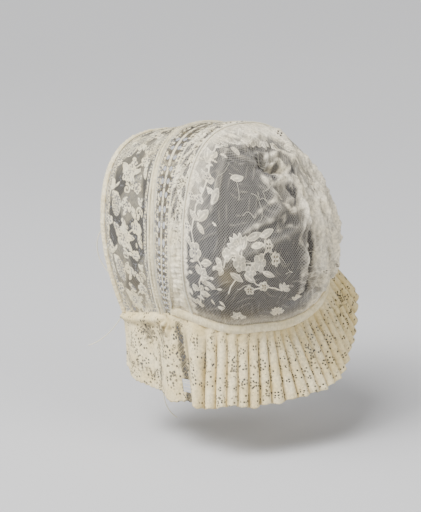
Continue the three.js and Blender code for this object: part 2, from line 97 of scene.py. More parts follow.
# %% A socket with operators, and a material that makes nodes
class Socket:
    """A value in a material. An operator on it adds a Math node."""

    def __init__(self, finish, output):
        self.finish, self.output = finish, output

    def maths(self, operation, *values):
        inputs = dict(enumerate(values))
        return self.finish.node("ShaderNodeMath", {"operation": operation}, inputs)

    def __add__(self, other):
        return self.maths("ADD", self, other)

    def __radd__(self, other):
        return self.maths("ADD", other, self)

    def __sub__(self, other):
        return self.maths("SUBTRACT", self, other)

    def __rsub__(self, other):
        return self.maths("SUBTRACT", other, self)

    def __mul__(self, other):
        return self.maths("MULTIPLY", self, other)

    def __rmul__(self, other):
        return self.maths("MULTIPLY", other, self)

    def __truediv__(self, other):
        return self.maths("DIVIDE", self, other)

    def __rtruediv__(self, other):
        return self.maths("DIVIDE", other, self)

    def __pow__(self, other):
        return self.maths("POWER", self, other)

    def __neg__(self):
        return self.maths("MULTIPLY", self, -1.0)

    def __abs__(self):
        return self.maths("ABSOLUTE", self)

    def sin(self):
        return self.maths("SINE", self)

    def fraction(self):
        return self.maths("FRACT", self)

    def highest(self, other):
        return self.maths("MAXIMUM", self, other)

    def root(self):
        return self.maths("SQRT", self)

    def rising(self, low, high):
        """0 below low, 1 above high and smooth between; with low above high it falls."""
        settings = {"interpolation_type": "SMOOTHSTEP"}
        inputs = {"Value": self, "From Min": low, "From Max": high, "To Min": 0.0, "To Max": 1.0}
        if low > high:
            inputs.update({"From Min": high, "From Max": low, "To Min": 1.0, "To Max": 0.0})
        return self.finish.node("ShaderNodeMapRange", settings, inputs)


class Finish:
    """A material whose nodes are made by one method."""

    def __init__(self, name):
        self.material = bpy.data.materials.new(name)
        self.material.use_nodes = True
        self.tree = self.material.node_tree
        self.tree.nodes.clear()

    def node(self, kind, settings=None, inputs=None, output=0):
        """Adds a node, sets it up, sets or links its sockets, and returns one of its outputs."""
        node = self.tree.nodes.new(kind)
        for key, value in (settings or {}).items():
            setattr(node, key, value)
        for key, value in (inputs or {}).items():
            if isinstance(value, Socket):
                self.tree.links.new(value.output, node.inputs[key])
            else:
                node.inputs[key].default_value = value
        return Socket(self, node.outputs[output]) if node.outputs else None

    def read(self, name, output=2):
        """A number kept on the piece's points; output 1 reads a vector."""
        return self.node("ShaderNodeAttribute", {"attribute_name": name}, output=output)

    def parts(self, vector):
        """The three numbers of a vector."""
        node = self.node("ShaderNodeSeparateXYZ", inputs={0: vector}).output.node
        return [Socket(self, out) for out in node.outputs]

    def chart(self):
        """The piece's own map of the cloth, in millimetres across and along."""
        across, along, _ = self.parts(self.node("ShaderNodeUVMap", {"uv_map": "cloth"}))
        return across / MM, along / MM

    def blotches(self, size_mm, detail=2.0):
        """Soft noise on object coordinates, about 0.5 in the middle; size_mm is one blotch."""
        place = self.node("ShaderNodeTexCoord", output=3)
        inputs = {"Vector": place, "Scale": 1 / (size_mm * MM), "Detail": detail}
        return self.node("ShaderNodeTexNoise", inputs=inputs)

    def blend(self, share, first, second):
        """A colour between two others."""
        colours = {0: share, 6: first, 7: second}
        return self.node("ShaderNodeMix", {"data_type": "RGBA"}, colours, output=2)

    def cloth(self, colour, height, bump_mm, roughness=0.85, alpha=None):
        """The shader itself: rough cloth with a little sheen, and a bump from a height."""
        relief = {"Strength": 1.0, "Distance": bump_mm * MM, "Height": height}
        bump = self.node("ShaderNodeBump", inputs=relief)
        inputs = {"Base Color": colour, "Roughness": roughness, "Normal": bump,
                  "Sheen Weight": 0.08, "Sheen Roughness": 0.5, "Specular IOR Level": 0.2}
        if alpha is not None:
            inputs["Alpha"] = alpha
        shader = self.node("ShaderNodeBsdfPrincipled", inputs=inputs)
        self.node("ShaderNodeOutputMaterial", inputs={"Surface": shader})
        return self.material


print("ready to make finishes")

# %% [markdown]
# ## Threads
# Three loose threads hang from the cap. A thread is a free cord: one open line with a round
# section, on the very route of its solid, so it can't drift from what carries it.

# %% Route of a thread through its points
THREAD_WIDTH = 0.8
# far end, then the points of the route in mm; each starts at the cloth that it comes out of
THREADS = {
    "edge_thread_loop": ("object", [
        (69.9, -81.2, -88), (70.4, -84.5, -94), (70.4, -86, -103), (69, -84, -114),
        (66.3, -76.7, -124.2)]),
    "ear_thread": ("bare", [
        (58.6, -69.8, -161.5), (60, -76, -170), (61.8, -84.5, -179.5), (63.5, -94, -187),
        (64.8, -104, -192.5)]),
    "ruffle_thread": ("bare", [
        (68.4, -13.5, -214.4), (67.4, -13, -220), (64.4, -12.5, -227), (59, -12.7, -233.5),
        (52.4, -13.5, -238.5)]),
}


def smooth_route(points, steps=6):
    """A curve through all points: a cubic between each two; the slopes allow for uneven spacing."""
    p = np.array(points, float)
    p = np.vstack([2 * p[0] - p[1], p, 2 * p[-1] - p[-2]])
    gap = np.linalg.norm(np.diff(p, axis=0), axis=1)[:, None] ** 0.5
    before, after = (p[1:-1] - p[:-2]) / gap[:-1], (p[2:] - p[1:-1]) / gap[1:]
    slope = before - (p[2:] - p[:-2]) / (gap[:-1] + gap[1:]) + after
    t = (np.arange(steps) / steps)[None, :, None]
    start, end = p[1:-2, None], p[2:-1, None]
    out, into = (slope[:-1] * gap[1:-1])[:, None], (slope[1:] * gap[1:-1])[:, None]
    curve = start * (1 + 2 * t) * (1 - t) ** 2 + out * t * (1 - t) ** 2
    curve = curve + end * t * t * (3 - 2 * t) - into * t * t * (1 - t)
    return np.vstack([curve.reshape(-1, 3), p[-2]])


def thread_finish():
    """Spun cotton: fine slanting ridges on an off-white thread."""
    finish = Finish("spun_thread")
    spots = finish.blotches(1.2)
    colour = finish.blend(spots, (0.80, 0.76, 0.62, 1), (0.66, 0.60, 0.44, 1))
    return finish.cloth(colour, finish.blotches(0.25), 0.05)


THREAD_FINISH = thread_finish()
for name, (far_end, points) in THREADS.items():
    route = smooth_route(points) * MM
    line = bpy.data.curves.new(name, "CURVE")
    line.dimensions = "3D"
    line.bevel_depth = THREAD_WIDTH * MM / 2
    line.bevel_resolution = 2
    line.use_fill_caps = True
    spline = line.splines.new("POLY")
    spline.points.add(len(route) - 1)
    spline.points.foreach_set("co", np.hstack([route, np.ones((len(route), 1))]).ravel())
    line.materials.append(THREAD_FINISH)
    thread = bpy.data.objects.new(name + "_spun", line)
    bpy.context.scene.collection.objects.link(thread)
    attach(thread, "root")
    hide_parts(name)

# %% [markdown]
# ## The form of the cap
# The cloth lies on one smooth form, worked out from short tables: borders of the bands, ribs of the
# crown, and the frill's upper and lower edge. A smooth curve through the rows of a table gives any
# place between them.

# %% Curves through a table
def through(at, places, rows):
    """Cubic pieces through the rows; the slope at a row is the mean of its neighbours' slopes."""
    gap = np.diff(places)
    rise = np.diff(rows, axis=0) / gap[:, None]
    share = (gap[1:] / (gap[1:] + gap[:-1]))[:, None]
    slope = np.vstack([rise[:1], rise[:-1] * share + rise[1:] * (1 - share), rise[-1:]])
    i = np.clip(np.searchsorted(places, at, "right") - 1, 0, len(places) - 2)
    t = ((at - places[i]) / gap[i])[..., None]
    width = gap[i][..., None]
    first = rows[i] * (1 + 2 * t) * (1 - t) ** 2 + slope[i] * width * t * (1 - t) ** 2
    return first + rows[i + 1] * t * t * (3 - 2 * t) - slope[i + 1] * width * t * t * (1 - t)


# top_y, ear_y, neck_y, top_z, half_width, wide_z for the borders at these distances from the face
BORDER_PLACES = np.array([0, 6, 62, 70, 87, 101.0])
BORDERS = np.array([
    (-93, -81, -69, -17, 70, -80),
    (-87, -75, -63.5, -15.5, 71.5, -81),
    (-41, -19, -20, -4.5, 79, -87),
    (-36, -11, -13, -3.5, 80, -88),
    (-9.5, 6, -6, 0.2, 81, -89),
    (5, 20, 12, 1.2, 80, -90),
], float)
# reach, wide_z and squareness of the crown's ribs at these directions, left seam to right seam
RIB_DIRECTIONS = np.array([-90, -70, -50, -25, 0, 20, 40, 55, 75, 90.0])
RIBS = np.array([
    (80, -90, 2.3), (80, -93, 2.25), (79, -97, 2.2), (78, -101, 2.1), (76, -106, 1.95),
    (75, -109, 1.85), (75, -108, 1.75), (75.5, -100, 1.8), (77, -84, 1.95), (80, -78, 2.3),
])
# root x, y, z and tip x, y, z of the frill, from its left front corner round the nape
FRILL = np.array([
    (59, -69, -157, 57, -71, -205),
    (64, -45, -152, 66, -38, -211),
    (66.5, -20, -147, 72, -6.5, -214),
    (66, -7, -145.5, 72, 12, -214),
    (55, 22, -153, 69, 33, -216),
    (45, 37, -157.5, 60, 50, -213.5),
    (22, 52, -158, 33, 65, -216),
    (0, 58, -159, -2, 81, -213.5),
    (-26, 60, -155, -34, 83, -208),
    (-46, 59, -146, -60, 75, -194),
    (-61, 51, -135, -78, 65.5, -179),
    (-73, 34, -114, -98, 49.5, -152),
    (-75, 5, -114.5, -100, 14, -155),
    (-72, -30, -128, -90, -28, -178),
    (-60, -69, -150, -66, -70, -196),
], float)
NAPE_ROW, LEFT_EAR_ROW, RIGHT_EAR_ROW = 7, 3, 12
SQUARENESS = 2.3
LOWEST_WIDE_LINE = 30.0
SEWN_GAP = 0.3
BAND_CLEARANCE = 0.7
NECK_TAPE_WIDTH = 6.5

frill_middle = (FRILL[:, :3] + FRILL[:, 3:]) / 2
frill_steps = np.linalg.norm(np.diff(frill_middle, axis=0), axis=1)
FRILL_PLACES = np.concatenate([[0], np.cumsum(frill_steps)])
FRILL_PLACES /= FRILL_PLACES[-1]
print("frill places:", FRILL_PLACES.round(3))

# %% [markdown]
# ## Bands, crown and frill as functions
# A band point is found from its distance behind the face edge and from how far down it lies, from
# the right neck (-2) over the top (0) to the left neck (2). A crown point has a direction round the
# back of the head and the same measure down. The frill runs from its root to its tip.

# %% The three forms
def frill_edges(place):
    """Root and tip of the frill at a place from 0 to 1 along it."""
    row = through(np.asarray(place, float), FRILL_PLACES, FRILL)
    return row[..., :3], row[..., 3:]


def root_place(y, left):
    """Where the frill's root crosses a given y, read from a fine table of the root."""
    near = np.linspace(0, FRILL_PLACES[NAPE_ROW], 2000)
    far = np.linspace(1, FRILL_PLACES[NAPE_ROW], 2000)
    on_left = np.interp(y, frill_edges(near)[0][:, 1], near)
    on_right = np.interp(y, np.maximum.accumulate(frill_edges(far)[0][:, 1]), far)
    return np.where(left, on_left, on_right)


def band_form(place, down):
    """A rounded arch over the head (a superellipse), then a curve in to the frill's root."""
    place, down = np.broadcast_arrays(np.asarray(place, float), np.asarray(down, float))
    border = through(place, BORDER_PLACES, BORDERS)
    top_y, ear_y, neck_y, top_z, half, wide_z = np.moveaxis(border, -1, 0)
    left = down > 0
    root, _ = frill_edges(root_place(neck_y, left))
    low = root[..., 2] + np.where(place > BORDER_PLACES[4], NECK_TAPE_WIDTH, 0) + BAND_CLEARANCE
    wide_z = np.where(left, wide_z, np.maximum(wide_z, root[..., 2] + LOWEST_WIDE_LINE))
    turn = np.clip(np.abs(down), 0, 1) * np.pi / 2
    below = np.clip(np.abs(down) - 1, 0, 1)
    upper = np.abs(down) <= 1
    inward = (np.abs(root[..., 0]) - half) * below**2
    x = np.where(upper, half * np.sin(turn) ** (2 / SQUARENESS), half + inward)
    y = np.where(upper, top_y + (ear_y - top_y) * np.sin(turn) ** 2,
                 ear_y + (neck_y - ear_y) * below**1.6)
    arch = np.maximum(0, np.cos(turn)) ** (2 / SQUARENESS)
    z = np.where(upper, wide_z + (top_z - wide_z) * arch, wide_z + (low - wide_z) * below)
    return np.stack([np.where(left, x, -x), y, z], -1)


SEAM = BORDERS[5]
LEFT_SEAM, RIGHT_SEAM = float(root_place(SEAM[2], True)), float(root_place(SEAM[2], False))


def crown_form(direction, down):
    """Ribs from the top of the seam, each a quarter superellipse, then a curve in to the tape."""
    direction, down = np.broadcast_arrays(np.asarray(direction, float), np.asarray(down, float))
    reach, wide_z, squareness = np.moveaxis(through(direction, RIB_DIRECTIONS, RIBS), -1, 0)
    angle = np.radians(direction)
    sideways = np.abs(np.sin(angle))
    shift = (SEAM[1] - SEAM[0]) * sideways**1.5
    wide_x, wide_y = -np.sin(angle) * reach, np.cos(angle) * reach
    turn = np.clip(down, 0, 1) * np.pi / 2
    below = np.clip(down - 1, 0, 1)
    out, fall = np.sin(turn) ** (2 / squareness), np.maximum(0, np.cos(turn)) ** (2 / squareness)
    root, _ = frill_edges(LEFT_SEAM + (RIGHT_SEAM - LEFT_SEAM) * (direction + 90) / 180)
    start_y = SEAM[0] + shift + wide_y
    neck_z = root[..., 2] + NECK_TAPE_WIDTH + SEWN_GAP
    upper = down <= 1
    x = np.where(upper, wide_x * out, wide_x + (root[..., 0] - wide_x) * below**2)
    y = np.where(upper, SEAM[0] + shift * np.sin(turn) ** 2 + wide_y * out,
                 start_y + (root[..., 1] - start_y) * below ** (2 - 0.4 * sideways))
    z = np.where(upper, wide_z + (SEAM[3] - wide_z) * fall, wide_z + (neck_z - wide_z) * below)
    return np.stack([x, y, z], -1)


def frill_form(place, level):
    """The straight line from root to tip."""
    root, tip = frill_edges(place)
    level = np.asarray(level, float)[..., None]
    return root * (1 - level) + tip * level


CAP_MIDDLE = np.array([0, 0, -95.0])


def unit(vectors):
    """The same directions at length 1."""
    return vectors / np.linalg.norm(vectors, axis=-1, keepdims=True)


def outward(normals, points):
    """The normals, all turned round if most of them point in toward the middle of the cap."""
    return normals * np.sign((normals * (points - CAP_MIDDLE)).sum())


def facing(form, u, v, u_step, v_step):
    """Unit vectors across a form, from the cross product of its two slopes."""
    along_u = form(u + u_step, v) - form(u - u_step, v)
    along_v = form(u, v + v_step) - form(u, v - v_step)
    across = np.cross(along_u, along_v)
    return across / np.maximum(np.linalg.norm(across, axis=-1, keepdims=True), 1e-9)


print("crown seams at", round(LEFT_SEAM, 3), "and", round(RIGHT_SEAM, 3), "along the frill")

# %% [markdown]
# ## From a grid of points to a piece of cloth
# Every strip is a grid. The faces are made from the grid's own numbering, each point keeps its
# place in the cloth in a map called cloth, and its numbers for the material, such as how deep it
# lies inside a worked flower. A cell can be left out, for a hole or a tear.

# %% Grid to mesh
def lay_cloth(name, points, chart, numbers=None, gone=None, thickness=0.0, ring=False):
    """points: rows by columns by 3, in mm. chart: rows by columns by 2, in mm of cloth."""
    if ring:
        points, chart = np.concatenate([points, points[:1]]), np.concatenate([chart, chart[:1]])
        numbers = {key: np.concatenate([n, n[:1]]) for key, n in (numbers or {}).items()}
    rows, columns = points.shape[:2]
    index = np.arange(rows * columns).reshape(rows, columns)
    faces = np.stack([index[:-1, :-1], index[:-1, 1:], index[1:, 1:], index[1:, :-1]], -1)
    if gone is not None:
        faces = faces[~gone]
    faces = faces.reshape(-1, 4)
    flat = points.reshape(-1, 3)
    if not ring:
        a, b, d = flat[faces[:, 0]], flat[faces[:, 1]], flat[faces[:, 3]]
        if (np.cross(b - a, d - a) * (a - CAP_MIDDLE)).sum() < 0:
            faces = faces[:, ::-1]
    mesh = bpy.data.meshes.new(name)
    mesh.vertices.add(len(flat))
    mesh.vertices.foreach_set("co", (flat * MM).ravel())
    mesh.loops.add(faces.size)
    mesh.loops.foreach_set("vertex_index", faces.ravel().astype(np.int32))
    mesh.polygons.add(len(faces))
    mesh.polygons.foreach_set("loop_start", np.arange(0, faces.size, 4, dtype=np.int32))
    mesh.polygons.foreach_set("use_smooth", np.ones(len(faces), bool))
    mesh.update(calc_edges=True)
    layer = mesh.uv_layers.new(name="cloth")
    layer.data.foreach_set("uv", (chart.reshape(-1, 2)[faces.ravel()] * MM).ravel())
    for key, value in (numbers or {}).items():
        kind, field = ("FLOAT_VECTOR", "vector") if value.ndim == 3 else ("FLOAT", "value")
        layer = mesh.attributes.new(key, kind, "POINT")
        layer.data.foreach_set(field, value.astype(np.float32).ravel())
    work = bmesh.new()
    work.from_mesh(mesh)
    bmesh.ops.remove_doubles(work, verts=work.verts, dist=1e-6)
    loose = [v for v in work.verts if not v.link_faces]
    bmesh.ops.delete(work, geom=loose, context="VERTS")
    if ring:
        bmesh.ops.holes_fill(work, edges=[e for e in work.edges if e.is_boundary])
        bmesh.ops.recalc_face_normals(work, faces=work.faces)
    work.to_mesh(mesh)
    work.free()
    piece = bpy.data.objects.new(name, mesh)
    bpy.context.scene.collection.objects.link(piece)
    if thickness:
        solidify = piece.modifiers.new("thickness", "SOLIDIFY")
        solidify.thickness = thickness * MM
        solidify.offset = 0.0
    print(name, "has", len(mesh.polygons), "faces")
    return piece


def area_of(points):
    """Area of a grid in square metres, from the diagonals of its cells."""
    one = points[1:, 1:] - points[:-1, :-1]
    two = points[1:, :-1] - points[:-1, 1:]
    return float(np.linalg.norm(np.cross(one, two), axis=-1).sum() / 2) * MM * MM


def wear(piece, finish, slot, *nodes):
    """Gives a piece its material and puts it in the place of its solids; slot is not used."""
    piece.data.materials.append(finish)
    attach(piece, "root")
    if nodes:
        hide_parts(*nodes)


def along_line(points):
    """Distance along a row of points, in mm, with 0 in the middle of the row."""
    step = np.linalg.norm(np.diff(points, axis=0), axis=1)
    length = np.concatenate([[0], np.cumsum(step)])
    return length - length[-1] / 2


def bump_line(distance, width):
    """A round ridge: a bell curve of the distance."""
    return np.exp(-((distance / width) ** 2))


def share_between(value, low, high):
    """0 at low, 1 at high and smooth between."""
    t = np.clip((value - low) / (high - low), 0, 1)
    return t * t * (3 - 2 * t)


# %% [markdown]
# ## Worked figures
# The lace maker's flowers, leaves and scrolls are solid cloth on a net ground. Each figure is a
# signed distance: how deep a point lies inside it, in millimetres. The largest of all of them is
# kept on the cloth, and the material cuts it off at zero, so an outline stays crisp between points.

# %% Figures as distances
def flower(x, y, centre_x, centre_y, radius, petals, turn=0.0):
    """Petals round a centre: a rounded star, cut by a thin slit between each two petals."""
    dx, dy = x - centre_x, y - centre_y
    r, half = np.hypot(dx, dy), petals * (np.arctan2(dy, dx) - math.radians(turn)) / 2
    edge = radius * (0.66 + 0.34 * np.abs(np.cos(half)) ** 0.7)
    slit = r * np.abs(np.cos(half)) * 2 / petals - 0.22
    return np.maximum(np.minimum(edge - r, slit), 0.26 * radius - r)


def leaf(x, y, from_x, from_y, to_x, to_y, width):
    """A pointed oval from one end to the other, with a slit for its middle vein."""
    along_x, along_y = to_x - from_x, to_y - from_y
    length = math.hypot(along_x, along_y)
    t = ((x - from_x) * along_x + (y - from_y) * along_y) / length**2
    off = np.abs((x - from_x) * along_y - (y - from_y) * along_x) / length
    side = width / 2 * np.sin(np.pi * np.clip(t, 0, 1)) ** 0.75 - off
    ends = np.minimum(t, 1 - t) * length
    vein = np.where(t < 0.7, off - 0.2, 1.0)
    return np.minimum(np.minimum(side, ends), vein)


def stem(x, y, points, width):
    """A line of even width through a few points."""
    best = np.full(np.shape(x), -9.0)
    for (x0, y0), (x1, y1) in zip(points[:-1], points[1:]):
        dx, dy = x1 - x0, y1 - y0
        t = np.clip(((x - x0) * dx + (y - y0) * dy) / (dx * dx + dy * dy), 0, 1)
        best = np.maximum(best, width / 2 - np.hypot(x - x0 - t * dx, y - y0 - t * dy))
    return best


def scroll(x, y, centre_x, centre_y, radius, turns, width, start=0.0, way=1):
    """A spiral stem that winds in to its centre."""
    angle = np.linspace(0, turns * 2 * np.pi, 14)
    r = radius * (1 - 0.75 * angle / angle[-1])
    spin = math.radians(start) + way * angle
    points = np.stack([centre_x + r * np.cos(spin), centre_y + r * np.sin(spin)], 1)
    return stem(x, y, points, width)


def spray(x, y, centre_x, centre_y, length, leaves, spread, turn, width):
    """Leaves in a fan from one point."""
    best = np.full(np.shape(x), -9.0)
    for angle in np.radians(turn + np.linspace(-spread / 2, spread / 2, leaves)):
        end_x, end_y = centre_x + length * math.cos(angle), centre_y + length * math.sin(angle)
        start_x = centre_x + 0.15 * (end_x - centre_x)
        start_y = centre_y + 0.15 * (end_y - centre_y)
        best = np.maximum(best, leaf(x, y, start_x, start_y, end_x, end_y, width))
    return best


def nearest_ring(x, y, rings):
    """Offset to the centre of the ring of pinholes that lies nearest, and that ring's radius."""
    best, out = np.full(np.shape(x), 1e9), np.zeros((*np.shape(x), 3))
    for centre_x, centre_y, radius in rings:
        dx, dy = x - centre_x, y - centre_y
        off = np.abs(np.hypot(dx, dy) - radius)
        closer = off < best
        best = np.where(closer, off, best)
        out[closer] = np.stack([dx, dy, np.full(np.shape(x), radius)], -1)[closer]
    return out, 2.0 - best


print("figures: flower, leaf, stem, scroll, spray and rings of pinholes")

# %% [markdown]
# ## Finishes of the lace
# All the lace shares one recipe. Solid figures are tight cloth, the ground is a slanting net, and a
# thick outline thread stands up round each figure. Where the net lies single, its meshes are open
# only a little: they are filled with a near-black painted shade and its threads are painted grey,
# for the dark seen through a net. Pinholes are pierced in rings and rows, and where a number called
# pierced is high, many more are strewn at uneven steps; each pinhole is also painted near-black as
# painted shade and stays mostly closed. A number called shade darkens hollows and seams with
# painted shade, because a crease in real cloth holds back more light than a smooth grid does.

# %% One recipe for lace
RING_STEP, ROW_STEP = 2.6, 2.8
HOLE_EDGE, HOLE_FLOOR = 0.92, 0.62
FULL_TURN = 2 * math.pi
DEEP_SHADE = (0.055, 0.048, 0.042, 1)
# YELLOWED is the colour of stains; the near-black second colour is painted shade for the pinholes
YELLOWED, PAINTED_HOLE_SHADE = (0.66, 0.50, 0.20, 1), (0.035, 0.03, 0.024, 1)


def weave(across, along, pitch):
    """Fine cloth: crossing sine ridges, one thread a pitch."""
    turn = FULL_TURN / pitch
    return (across * turn).sin() * (along * turn).sin() * 0.5 + 0.5


def net_threads(across, along, pitch, thread):
    """Slanting net: 1 on its threads, 0 in its meshes; a band of each of two slanting families."""
    first = abs(((across + along) / pitch).fraction() - 0.5)
    second = abs(((across - along) / pitch).fraction() - 0.5)
    edge = 0.5 - thread / pitch / 2
    return first.highest(second).rising(edge - 0.07, edge + 0.07)


def pin_holes(finish, across):
    """1 in a pinhole: dots at even steps round a ring, and along a row."""
    dx, dy, radius = finish.parts(finish.read("ring", output=1))
    angle = dy.maths("ARCTAN2", dy, dx)
    off = (dx * dx + dy * dy).root() - radius
    count_exact = radius * (FULL_TURN / RING_STEP)
    count = count_exact.maths("ROUND", count_exact)
    share = (angle / FULL_TURN * count).fraction() - 0.5
    part = share * (radius * FULL_TURN) / count.highest(1.0)
    near_ring = finish.read("ring_near").rising(0.9, 1.1)
    dots = (part * part + off * off).root().rising(HOLE_EDGE, HOLE_FLOOR)
    row = finish.read("row")
    slot = ((across / ROW_STEP).fraction() - 0.5) * ROW_STEP
    holes = (slot * slot + row * row).root().rising(HOLE_EDGE, HOLE_FLOOR)
    return (dots * near_ring).highest(holes)


def strewn_holes(finish, apart_mm, low, high):
    """1 in small round holes at uneven steps: near the seeds of a Voronoi pattern on the cloth."""
    place = finish.node("ShaderNodeUVMap", {"uv_map": "cloth"})
    inputs = {"Vector": place, "Scale": 1 / (apart_mm * MM), "Randomness": 0.75}
    return finish.node("ShaderNodeTexVoronoi", inputs=inputs).rising(high, low)


def lace_finish(name, light, warm, pitch, thread, least, ground, net_thread, gaps,
                figure=0.92, doubled=0.72, bump=0.25):
    """Lace: figures of cloth, a net ground, pinholes, a raised outline, cream colour with stains.

    light and warm are the two creams, pitch and thread the net's step and thread in mm, least how
    closed a mesh is at least, ground and net_thread the near-black and grey painted shade of mesh
    and thread where the net lies single. gaps is the share of open specks, figure and doubled are
    how light figures and doubled net are, and bump is the relief in mm.
    """
    finish = Finish(name)
    across, along = finish.chart()
    work = finish.read("work")
    cloth = work.rising(-0.15, 0.15)
    outline = work.rising(-0.4, 0.0) * work.rising(0.5, 0.1)
    layers = finish.read("veil").rising(0.1, 0.9)
    threads = net_threads(across, along, pitch, thread)
    solid = cloth.highest(threads).highest(outline)
    in_patches = finish.blotches(9.0, 1.0).rising(0.38, 0.52)
    specks = finish.blotches(1.7, 1.0).rising(0.57, 0.63) * in_patches
    open_specks = specks * work.rising(1.3, 0.5) * layers.highest(cloth) * gaps
    pins = pin_holes(finish, across).highest(open_specks)
    pins = pins.highest(strewn_holes(finish, 2.5, 0.30, 0.44) * finish.read("pierced"))
    alpha = solid.highest(layers * (1 - least) + least) * (1 - pins * 0.3)
    flecks = finish.blotches(2.4, 2.0).rising(0.36, 0.64)
    colour = finish.blend(finish.blotches(14.0, 3.0).rising(0.35, 0.7), light, warm)
    # painted shade: where the net lies single, its meshes take the near-black ground colour and its
    # threads the grey net_thread colour
    netted = finish.blend(threads, ground, net_thread)
    veins = (work * 3.2 + flecks * 2.5).sin() * 0.12 + 0.88
    worked = cloth * veins * (flecks * 0.22 + 0.78) * figure
    share = worked.highest(layers * (flecks * 0.28 + doubled)).highest(outline * 0.95)
    grounded = finish.blend(share, netted, colour)
    shaded = finish.blend(finish.read("shade"), grounded, DEEP_SHADE)
    yellowed = finish.blend(finish.read("stain"), shaded, YELLOWED)
    # painted shade: pinholes are painted near-black and keep 0.7 of their alpha
    pierced = finish.blend(pins * 0.9, yellowed, PAINTED_HOLE_SHADE)
    height = cloth * 0.5 + outline * 0.5 + weave(across, along, 0.5) * 0.2
    height = height + threads * 0.3 + flecks * 0.4 - pins * 0.6
    return finish.cloth(pierced, height, bump, alpha=alpha)


def tape_finish(name, light, warm, ribs, bump=0.15):
    """Plain linen: fine weave, a few ribs along the cloth and soft cream blotches."""
    finish = Finish(name)
    across, along = finish.chart()
    spots = finish.blotches(9.0, 3.0)
    colour = finish.blend(spots.rising(0.3, 0.7), light, warm)
    patches = finish.blotches(2.6, 2.0).rising(0.60, 0.38) * 0.3
    worn = finish.blend(patches, colour, (0.34, 0.29, 0.19, 1))
    shaded = finish.blend(finish.read("shade"), worn, DEEP_SHADE)
    stained = finish.blend(finish.read("stain"), shaded, (0.60, 0.46, 0.20, 1))
    ridges = (across * (FULL_TURN / ribs)).sin() * 0.5 + 0.5
    height = weave(across, along, 0.55) * 0.6 + ridges * 0.4 + finish.blotches(1.1) * 0.6
    return finish.cloth(stained, height, bump)


CREAM, WARM_CREAM = (0.91, 0.815, 0.57, 1), (0.80, 0.68, 0.41, 1)
print("finishes: lace and tape")

# %% [markdown]
# ## The hem round the face
# A narrow strip of linen is rolled over the raw edge, so two small rolls with a groove between them
# run round the face, with tiny loops outside. The roll is a closed profile carried along the edge.

# %% Rolled hem
BAND_STEPS = 640
downs = np.linspace(-2, 2, BAND_STEPS + 1)
HEM_HALF = 14


def band_strip(places, downs, measured_at):
    """Grids of a strip: place and down of each point, and the distance along one line of it."""
    place, down = np.meshgrid(places, downs, indexing="ij")
    return place, down, along_line(band_form(measured_at, downs))[None] + 0 * place


def band_surface(place, down, lift):
    """Points of the bands, lifted by so many mm from the form."""
    form = band_form(place, down)
    normal = outward(facing(band_form, np.asarray(place, float), down, 0.2, 0.004), form)
    tucked = np.array([0, 0, -1.3]) * share_between(np.abs(down), 1.97, 2.0)[..., None]
    return form + normal * np.asarray(lift)[..., None] + tucked


turn = np.linspace(0, np.pi, HEM_HALF, endpoint=False)
share = np.concatenate([(1 - np.cos(turn)) / 2, (1 + np.cos(turn)) / 2])
swell = np.sqrt(np.sin(np.pi * share))
rolls = swell * (1 - 0.5 * bump_line(share - 0.55, 0.1))
lift = np.where(np.arange(2 * HEM_HALF) < HEM_HALF, 1.5 * rolls, -1.3 * swell)
hem_places, hem_downs, hem_x = band_strip(0.15 + 5.5 * share, downs, 3.0)
waver = 0.28 * np.sin(downs * 61) * np.sin(downs * 23 + 1) + 0.16 * np.sin(downs * 157)
hem_points = band_surface(hem_places, hem_downs, lift[:, None] * (1 + waver[None]))
hem_chart = np.stack([hem_x, share[:, None] * 6 + 0 * hem_x], -1)
hem_numbers = {"stain": 0.25 * share_between(hem_downs, 1.2, 1.9)}
hem = lay_cloth("rolled_hem", hem_points, hem_chart, hem_numbers, ring=True)
wear(hem, tape_finish("hem_linen", CREAM, WARM_CREAM, 1.7), "hem_linen", "front_hem")
hem_length = hem_x[0, -1] * 2 * MM
print("hem length in mm:", round(hem_length / MM))

# %% [markdown]
# ## The band of figured lace
# It carries the richest work: flowers and leaves, pinholed panels, scrolls, and patches of open
# net. The figures repeat along the band, as they would where one pricked pattern is worked again
# and again.

# %% Figured band
LACE_REPEAT = 54.0
LACE_ROWS = 92
LACE_FROM, LACE_TO, LACE_CUT = 6.15, 61.7, 0.056
PIN_ROWS = (9.8, 57.9)


